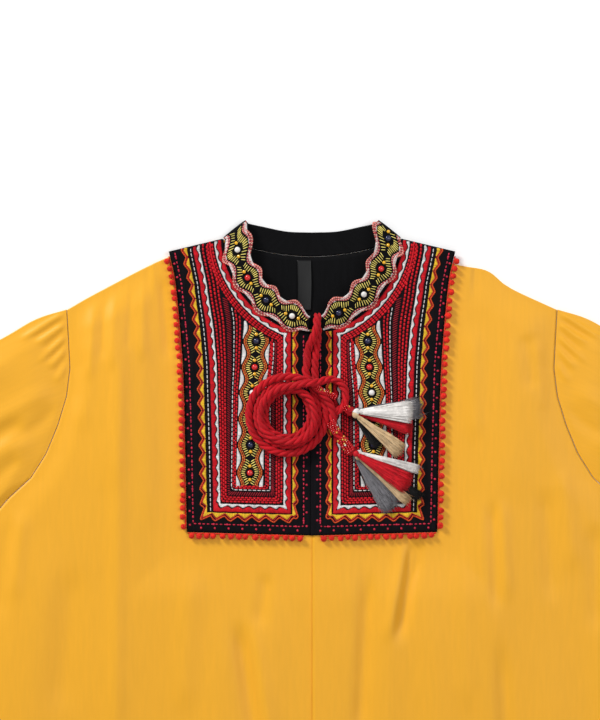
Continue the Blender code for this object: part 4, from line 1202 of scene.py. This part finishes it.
def bib(side):
    """A bib half: black cotton with U-shaped bands of stitches and a column of medallions."""
    word = "left" if side > 0 else "right"
    chance = np.random.default_rng(60 + side)
    u, v = np.meshgrid(np.linspace(0, 1, 56), np.linspace(0, 1, 96))

    def top(q):
        reached = np.minimum(q / (9 / 14), 1)
        neck = neck_curve(*NECK, reached) + np.stack([0 * q, reached], -1)
        end, corner = np.array([88.0, 1.0]), np.array(BIB_SIDE[0])
        shoulder = end + (corner - end) * ((q - 9 / 14) / (5 / 14))[..., None]
        return np.where((q <= 9 / 14)[..., None], neck, shoulder)

    def straight(start, end, q):
        return np.array(start) + (np.array(end) - np.array(start)) * q[..., None]

    plan = patch(
        top,
        lambda q: straight((0.0, BIB_BOTTOM_Y), BIB_SIDE[-1], q),
        lambda q: straight((0.0, -NECK[1]), (0.0, BIB_BOTTOM_Y), q),
        lambda q: along(BIB_SIDE, q),
        u,
        v,
    )
    x = side * (plan[..., 0] + 0.5 * (1 - u)) - (1.7 if side > 0 else -0.4) * (1 - u) ** 12
    y = plan[..., 1]
    rim = smooth(np.minimum(np.minimum(u, 1 - u) / 0.02, np.minimum(v, 1 - v) / 0.012))
    face = bib_face(side, x) - 0.5 * (1 - rim)
    upper = np.stack([x, y, face], -1)
    lower = np.stack([x, y, bib_face(side, x) - BIB_WALL], -1)
    points, faces = shell(upper, lower)
    cloth = piece("bib_cloth_" + word, points, faces, GROUND, uv=sheet_uv(upper))
    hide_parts("bib_" + word)

    work = Needlework()
    line = lambda *offsets: u_line(side, *offsets)
    side_run = 291.0

    def strip(first, second):
        return Band(line(*first), line(*second))

    chain = strip((5.6, 7.6, 7.4, -9), (7.4, 9.4, 9.2, -9))
    running(work, chain, 0.5, 2.8, 4.3, 0.62, 0.45, PINK, chance)
    dots = strip((2.6, 3.8, 4.6, -9), (4.0, 5.2, 6.0, -9))
    running(work, dots, 0.5, 2.2, 13.5, 1.15, 0.7, PINK, chance)
    running(work, chain, 0.5, 2.6, 13.5, 1.0, 0.6, PINK, chance, shift=0.5)
    teeth = strip((13.4, 11.4, 13.6, -9), (20.6, 20.3, 19.6, -9))
    filled(
        work, teeth, lambda t: 0.34 + 0.62 * np.abs(2 * ((t / 14.0) % 1.0) - 1), 1.0, 1.15, YELLOW, chance
    )
    zigzag(work, teeth, 14.0, ORANGE, 0.02, 0.66, 0.75, chance)
    zigzag(work, teeth, 14.0, srgb(190, 30, 40), 0.26, 0.92, 0.5, chance)
    dash = strip((23.4, 20.6, 20.6, -9), (24.8, 22.0, 22.0, -9))
    running(work, dash, 0.5, 3.9, 4.7, 0.45, 0.42, WHITE, chance, end=side_run - 22)
    wave = strip((26.6, 20.9, 20.8, 2.6), (34.0, 29.3, 28.5, 9.8))

    def scallop(t):
        return 0.44 + 0.3 * np.abs(np.cos(np.pi * t / 11.0)) ** 1.5

    filled(work, wave, 0.0, scallop, 1.1, RED, chance)
    filled(work, wave, lambda t: scallop(t) + 0.06, 1.0, 1.1, WHITE, chance)
    for first, second, shift in (
        ((35.1, 30.7, 29.5, 11.0), (36.9, 32.5, 31.3, 12.8), 0.0),
        ((37.7, 33.0, 32.2, 13.3), (39.5, 34.6, 33.8, 15.1), 0.5),
        ((40.3, 35.1, 34.6, 15.6), (41.9, 36.3, 36.2, 17.2), 0.0),
    ):
        rowband = strip(first, second)
        running(work, rowband, 0.5, 3.7, 3.9, 1.05, 0.5, RED, chance, shift=shift)
    inner = Needlework()
    hatch = strip((42.8, 37.0, 37.0, 5), (47.0, 42.2, 41.0, 5))
    filled(inner, hatch, 0.04, 0.94, 2.3, srgb(140, 20, 34), chance, half=0.6, slant=1.5)
    dash_two = strip((47.9, 43.0, 41.4, 5), (48.7, 43.8, 42.4, 5))
    running(inner, dash_two, 0.5, 4.0, 4.6, 0.45, 0.42, WHITE, chance)
    for first, second, shift in (
        ((49.4, 44.5, 43.0, 5), (51.2, 46.1, 44.8, 5), 0.2),
        ((51.6, 46.3, 45.0, 5), (53.4, 47.7, 46.8, 5), 0.7),
    ):
        running(inner, strip(first, second), 0.5, 3.6, 3.9, 0.95, 0.48, RED, chance, shift=shift)
    # Column of medallions
    y = np.linspace(-66, -247.2, 80)
    middle = column_x(y)
    edge_lines = [
        np.column_stack([side * (middle + q), y, bib_face(side, side * (middle + q))]) for q in (13.7, -13.7)
    ]
    column = Band(*edge_lines)
    bead_y = np.array([-101.5, -127.5, -153.0, -179.0, -205.0, -233.0])
    beads = np.interp(-bead_y, -y, column.at)
    outline = (
        (np.array([ORANGE, srgb(232, 130, 60)]), 0.0, 1.7, 0.6),
        (np.array([srgb(236, 170, 70), srgb(205, 60, 50)]), 1.9, 3.3, 0.55),
    )
    reach = medallions(inner, column, beads, 10.4, 2.2, outline, chance, 2.0, column.length - 0.8)
    for sign in (0, 1):
        ends = (lambda t: 0.5 - (reach(t) + 0.9) / 27.4, lambda t: 0.5 + (reach(t) + 0.9) / 27.4)
        tau_low, tau_high = (0.0, ends[0]) if sign == 0 else (ends[1], 1.0)
        filled(inner, column, tau_low, tau_high, 1.1, WHITE, chance)

    def on_cloth(points):
        x, y = np.abs(points[:, 0]), points[:, 1]
        shoulder = y < 1 - 0.236 * (x - 88) - 1.2
        return shoulder & (x > 1.2)

    def neck_distance(points):
        x, y = np.abs(points[:, 0]), np.minimum(points[:, 1], 0)
        r = ((x / NECK[0]) ** (2 / NECK_POWER) + (-y / NECK[1]) ** (2 / NECK_POWER)) ** (NECK_POWER / 2)
        return (r - 1) * 90

    outer_piece = work.make(
        "bib_stitches_outer_" + word, FLOSS,
        keep=lambda p: on_cloth(p) & (neck_distance(p) > 2.0),
    )
    inner_piece = inner.make(
        "bib_stitches_inner_" + word, FLOSS,
        keep=lambda p: on_cloth(p) & (neck_distance(p) > 18.5),
    )
    centres, normals = column.lay(beads, 0.5, 0.3)
    ways = np.tile([0.0, -1.0, 0.0], (len(beads), 1))
    colours = [NAVY, BEAD_RED, PEARL, BEAD_RED, NAVY, BEAD_RED]
    big_beads("bib_beads_" + word, centres, normals, colours, ways, 3.0)
    return cloth, outer_piece, inner_piece


def collar_lines(side):
    """Seam and free edges of half the collar at fine steps: front, fold at the neck point, back."""
    end = COLLAR_END_DEG[side] / 90
    share = np.linspace(end, 1, 90)
    flare = 1 - smooth((share - 0.9) / 0.1)
    seam = neck_curve(*COLLAR_SEAM, share) + neck_curve(1.6, 1.6, share) * flare[:, None]
    rim = neck_curve(*COLLAR_RIM, share) + [0, 4.0]
    rim = rim + (np.array(COLLAR_PEAK) - rim) * smooth((share - 0.75) / 0.25)[:, None]
    rounding = 1 - smooth((share - end) / 0.1)
    rim = rim + (seam - rim) * 0.34 * rounding[:, None]
    rise = 9.0 * (1 - 0.55 * smooth((share - 0.55) / 0.45)) * (1 - 0.34 * rounding)
    front_seam = np.column_stack([seam, 5.4 + 1.9 * flare])
    front_rim = np.column_stack([rim, 5.4 + rise])
    corners = [front_seam[-1], front_rim[-1]]
    across = (corners[1] - corners[0])[:2]
    outward = np.array([-across[1], across[0]]) / np.linalg.norm(across)
    outward = outward * math.copysign(1, outward[0])
    turn = np.pi * np.arange(1, 12) / 12
    folds = []
    for corner in corners:
        radius = (corner[2] - 1.0) / 2
        plan = corner[:2] + outward * (radius * np.sin(turn) * 0.8)[:, None]
        folds.append(np.column_stack([plan, 1.0 + radius * (1 + np.cos(turn))]))
    q = np.linspace(0, 1, 30)
    back_turn = (1 - q) * np.pi / 2
    back_seam = np.column_stack(
        [COLLAR_SEAM[0] * np.sin(back_turn), 0.2 - BACK_NECK_DROP * np.cos(back_turn) ** 2, np.full(30, 1.0)]
    )
    back_rim = np.column_stack([along(COLLAR_BACK_RIM, q), np.full(30, 1.0)])
    flip = np.array([side, 1, 1])
    seam_line = np.concatenate([front_seam, folds[0], back_seam]) * flip
    rim_line = np.concatenate([front_rim, folds[1], back_rim]) * flip
    return seam_line, rim_line


COLLAR_BEADS = {
    -1: (((-20.5, -77), PEARL), ((-46, -62), NAVY), ((-63, -38), BEAD_RED), ((-73, -10), PEARL)),
    1: (((26, -73), NAVY), ((50, -54), PEARL), ((67, -28), BEAD_RED), ((78, 0), NAVY)),
}


def collar():
    """The stand collar: a wall swept between its seam and free edges, with medallions on its front."""
    halves = {side: collar_lines(side) for side in (-1, 1)}
    seam = np.concatenate([halves[-1][0], halves[1][0][-2::-1]])
    rim = np.concatenate([halves[-1][1], halves[1][1][-2::-1]])
    v = np.linspace(0, 1, 15)[:, None, None]
    middle = seam + (rim - seam) * v
    along_way = np.gradient(middle, axis=1)
    normal = unit(np.cross(along_way, np.broadcast_to(rim - seam, middle.shape)))
    bulge = 0.5 * np.sin(np.pi * v) - 0.35 * np.exp(-((v / 0.05) ** 2))
    bulge = bulge - 0.35 * np.exp(-(((1 - v) / 0.05) ** 2))
    reference = normal[0, 20]
    if reference[2] < 0:
        normal = -normal
    upper = middle + normal * (1.0 + bulge * 0.6)
    lower = middle - normal * 1.0
    points, faces = shell(upper, lower)
    run = np.concatenate([[0], np.cumsum(np.linalg.norm(np.diff(middle[7], axis=0), axis=1))])
    uv = np.stack(np.broadcast_arrays(run[None] * 0.001, v[..., 0] * 0.027), -1).reshape(-1, 2)
    cloth = piece("collar_cloth", points, faces, LINING, uv=np.concatenate([uv, uv]))
    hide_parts("collar")
    for side, word in ((-1, "right"), (1, "left")):
        chance = np.random.default_rng(80 + side)
        seam_line, rim_line = (part[:95] for part in halves[side])
        lift = 1.1
        raised = Band(seam_line + [0, 0, lift], rim_line + [0, 0, lift])
        middle_line = (seam_line + rim_line) / 2
        places = np.array([place for place, _ in COLLAR_BEADS[side]], float)
        nearest = np.argmin(np.linalg.norm(middle_line[None, :, :2] - places[:, None], axis=2), axis=1)
        beads = raised.at[nearest]
        work = Needlework()
        outline = (
            (np.array([SALMON, ROSE]), 0.0, 1.5, 0.6),
            (np.array([ROSE, srgb(196, 62, 84)]), 1.6, 3.0, 0.55),
        )
        reach = medallions(work, raised, beads, 9.4, 2.1, outline, chance, 1.5, raised.length - 1.0)
        wide = 24.5
        filled(work, raised, lambda t: 0.5 + (reach(t) + 0.8) / wide, 0.97, 1.1, WHITE, chance)
        filled(work, raised, 0.03, lambda t: 0.5 - (reach(t) + 0.8) / wide, 1.1, WHITE, chance)
        work.make("collar_stitches_" + word, FLOSS)
        centres, normals = raised.lay(beads, 0.5, 0.3)
        ahead, _ = raised.lay(beads + 1.0, 0.5, 0.3)
        colours = [colour for _, colour in COLLAR_BEADS[side]]
        big_beads("collar_beads_" + word, centres, normals, colours, unit(ahead - centres), 3.0)


def lining():
    """The black back facing inside the neck, and the bare glossy label that hangs from the collar seam."""
    u, v = np.meshgrid(np.linspace(0, 1, 60), np.linspace(0, 1, 24))
    turn = (u - 0.5) * np.pi
    x = (NECK[0] - 1.0) * np.sin(turn) * (1 + 0.1 * v)
    top = -BACK_NECK_DROP * np.cos(turn) ** 2 - 0.2
    bottom = -128.0 * np.cos(turn * 0.72)
    y = top + (bottom - top) * v
    z = np.full_like(x, CLOTH + SEAM_GAP)
    ripple = 0.1 + 0.1 * np.sin(x / 9.0) * np.sin(np.pi * v)
    upper, lower = np.stack([x, y, z + 0.8 + ripple], -1), np.stack([x, y, z], -1)
    points, faces = shell(upper, lower)
    made = piece("neck_lining", points, faces, LINING, uv=sheet_uv(upper))
    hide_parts("neck_facing")
    u, v = np.meshgrid(np.linspace(0, 1, 14), np.linspace(0, 1, 40))
    x = -15 + 14 * u + 0.6 * np.sin(np.pi * v)
    y = -20.5 - 50.5 * v
    z = 2.9 + 0.8 * np.sin(np.pi * v) + 0.5 * np.sin(np.pi * u) * v
    upper, lower = np.stack([x, y, z + 0.5], -1), np.stack([x, y, z], -1)
    points, faces = shell(upper, lower)
    tag = piece("bare_label", points, faces, LABEL, uv=sheet_uv(upper))
    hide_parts("neck_label")


def pompoms(side):
    """Pompoms on a braid round a bib half: rough balls with short hairs standing out of them."""
    word = "left" if side > 0 else "right"
    corner = BIB_SIDE[-1]
    beside = along(BIB_SIDE, np.linspace(0.02, 0.99, 12)) + [1.0, 0]
    rise = (corner[1] - BIB_BOTTOM_Y) / corner[0]
    below = np.array([[x, BIB_BOTTOM_Y - 1.0 + rise * x] for x in (124.0, 95.0, 65.0, 35.0, 8.0)])
    for edge, plan in (("side", beside), ("bottom", below)):
        chance = np.random.default_rng(20 + side + len(edge))
        run = np.linalg.norm(np.diff(plan, axis=0), axis=1).sum()
        count = round(float(run) / 8.0)
        share = (np.arange(count) + 0.5) / count + chance.normal(0, 0.75 / run, count)
        here, ahead = along(plan, share), along(plan, np.minimum(1, share + 0.01))
        way = unit(ahead - here)
        x, y = (here + np.stack([-way[:, 1], way[:, 0]], -1) * (2.3 + chance.normal(0, 0.3, (count, 1)))).T
        floor_z = bib_face(side, side * x) - BIB_WALL
        centres = np.stack([side * x, y, floor_z + 2.7], -1)
        shape, tris = ball(12, 8)
        frames = np.broadcast_to(np.eye(3), (count, 3, 3))
        sizes = chance.normal(3.0, 0.18, (count, 1)) * [1.0, 1.0, 0.9]
        points, faces = scatter((shape, tris), centres, frames, sizes)
        rough = chance.normal(1.0, 0.07, len(points))[:, None]
        points = np.repeat(centres, len(shape), 0) + (points - np.repeat(centres, len(shape), 0)) * rough
        hairs = 70
        out = unit(chance.normal(0, 1, (count, hairs, 3)))
        out[..., 2] = np.abs(out[..., 2]) * 0.9
        root = centres[:, None] + out * 2.2
        hair_way = unit(out + chance.normal(0, 0.16, out.shape))
        tip = centres[:, None] + hair_way * chance.uniform(3.0, 3.7, (count, hairs, 1))
        side_way = unit(np.cross(out, [0.3, 0.2, 0.9]))
        other = np.cross(out, side_way)
        corners = [
            root + side_way * 0.2,
            root - side_way * 0.1 + other * 0.17,
            root - side_way * 0.1 - other * 0.17,
            tip,
        ]
        hair_points = np.stack(corners, 2).reshape(-1, 3)
        one = np.array([[0, 1, 3], [1, 2, 3], [2, 0, 3], [0, 2, 1]])
        hair_faces = (one[None] + (np.arange(count * hairs) * 4)[:, None, None]).reshape(-1, 3) + len(points)
        braid_plan = along(plan, np.linspace(0, 1, int(run / 1.2)))
        braid_x = side * braid_plan[:, 0]
        braid_z = bib_face(side, braid_x) - BIB_WALL + 0.9
        swing = 0.45 * np.sin(2 * np.pi * np.arange(len(braid_plan)) / 3.3)
        centre = np.column_stack([braid_x, braid_plan[:, 1], braid_z + 0.15 * np.abs(swing)])
        braid_points, braid_faces = tubes(centre[None], (0.62 + 0.2 * swing)[None], 8)
        strip = braid_faces + len(points) + len(hair_points)
        braid_tris = np.concatenate([strip[:, [0, 1, 2]], strip[:, [0, 2, 3]]])
        made = piece(
            f"pompoms_{edge}_{word}", np.concatenate([points, hair_points, braid_points]),
            np.concatenate([faces, hair_faces, braid_tris]), FLUFF,
        )
        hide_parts(f"pompom_{edge}_{word}")


back()
for hand in (-1, 1):
    front(hand)
    sleeve(hand)
    bib(hand)
    pompoms(hand)
collar()
lining()
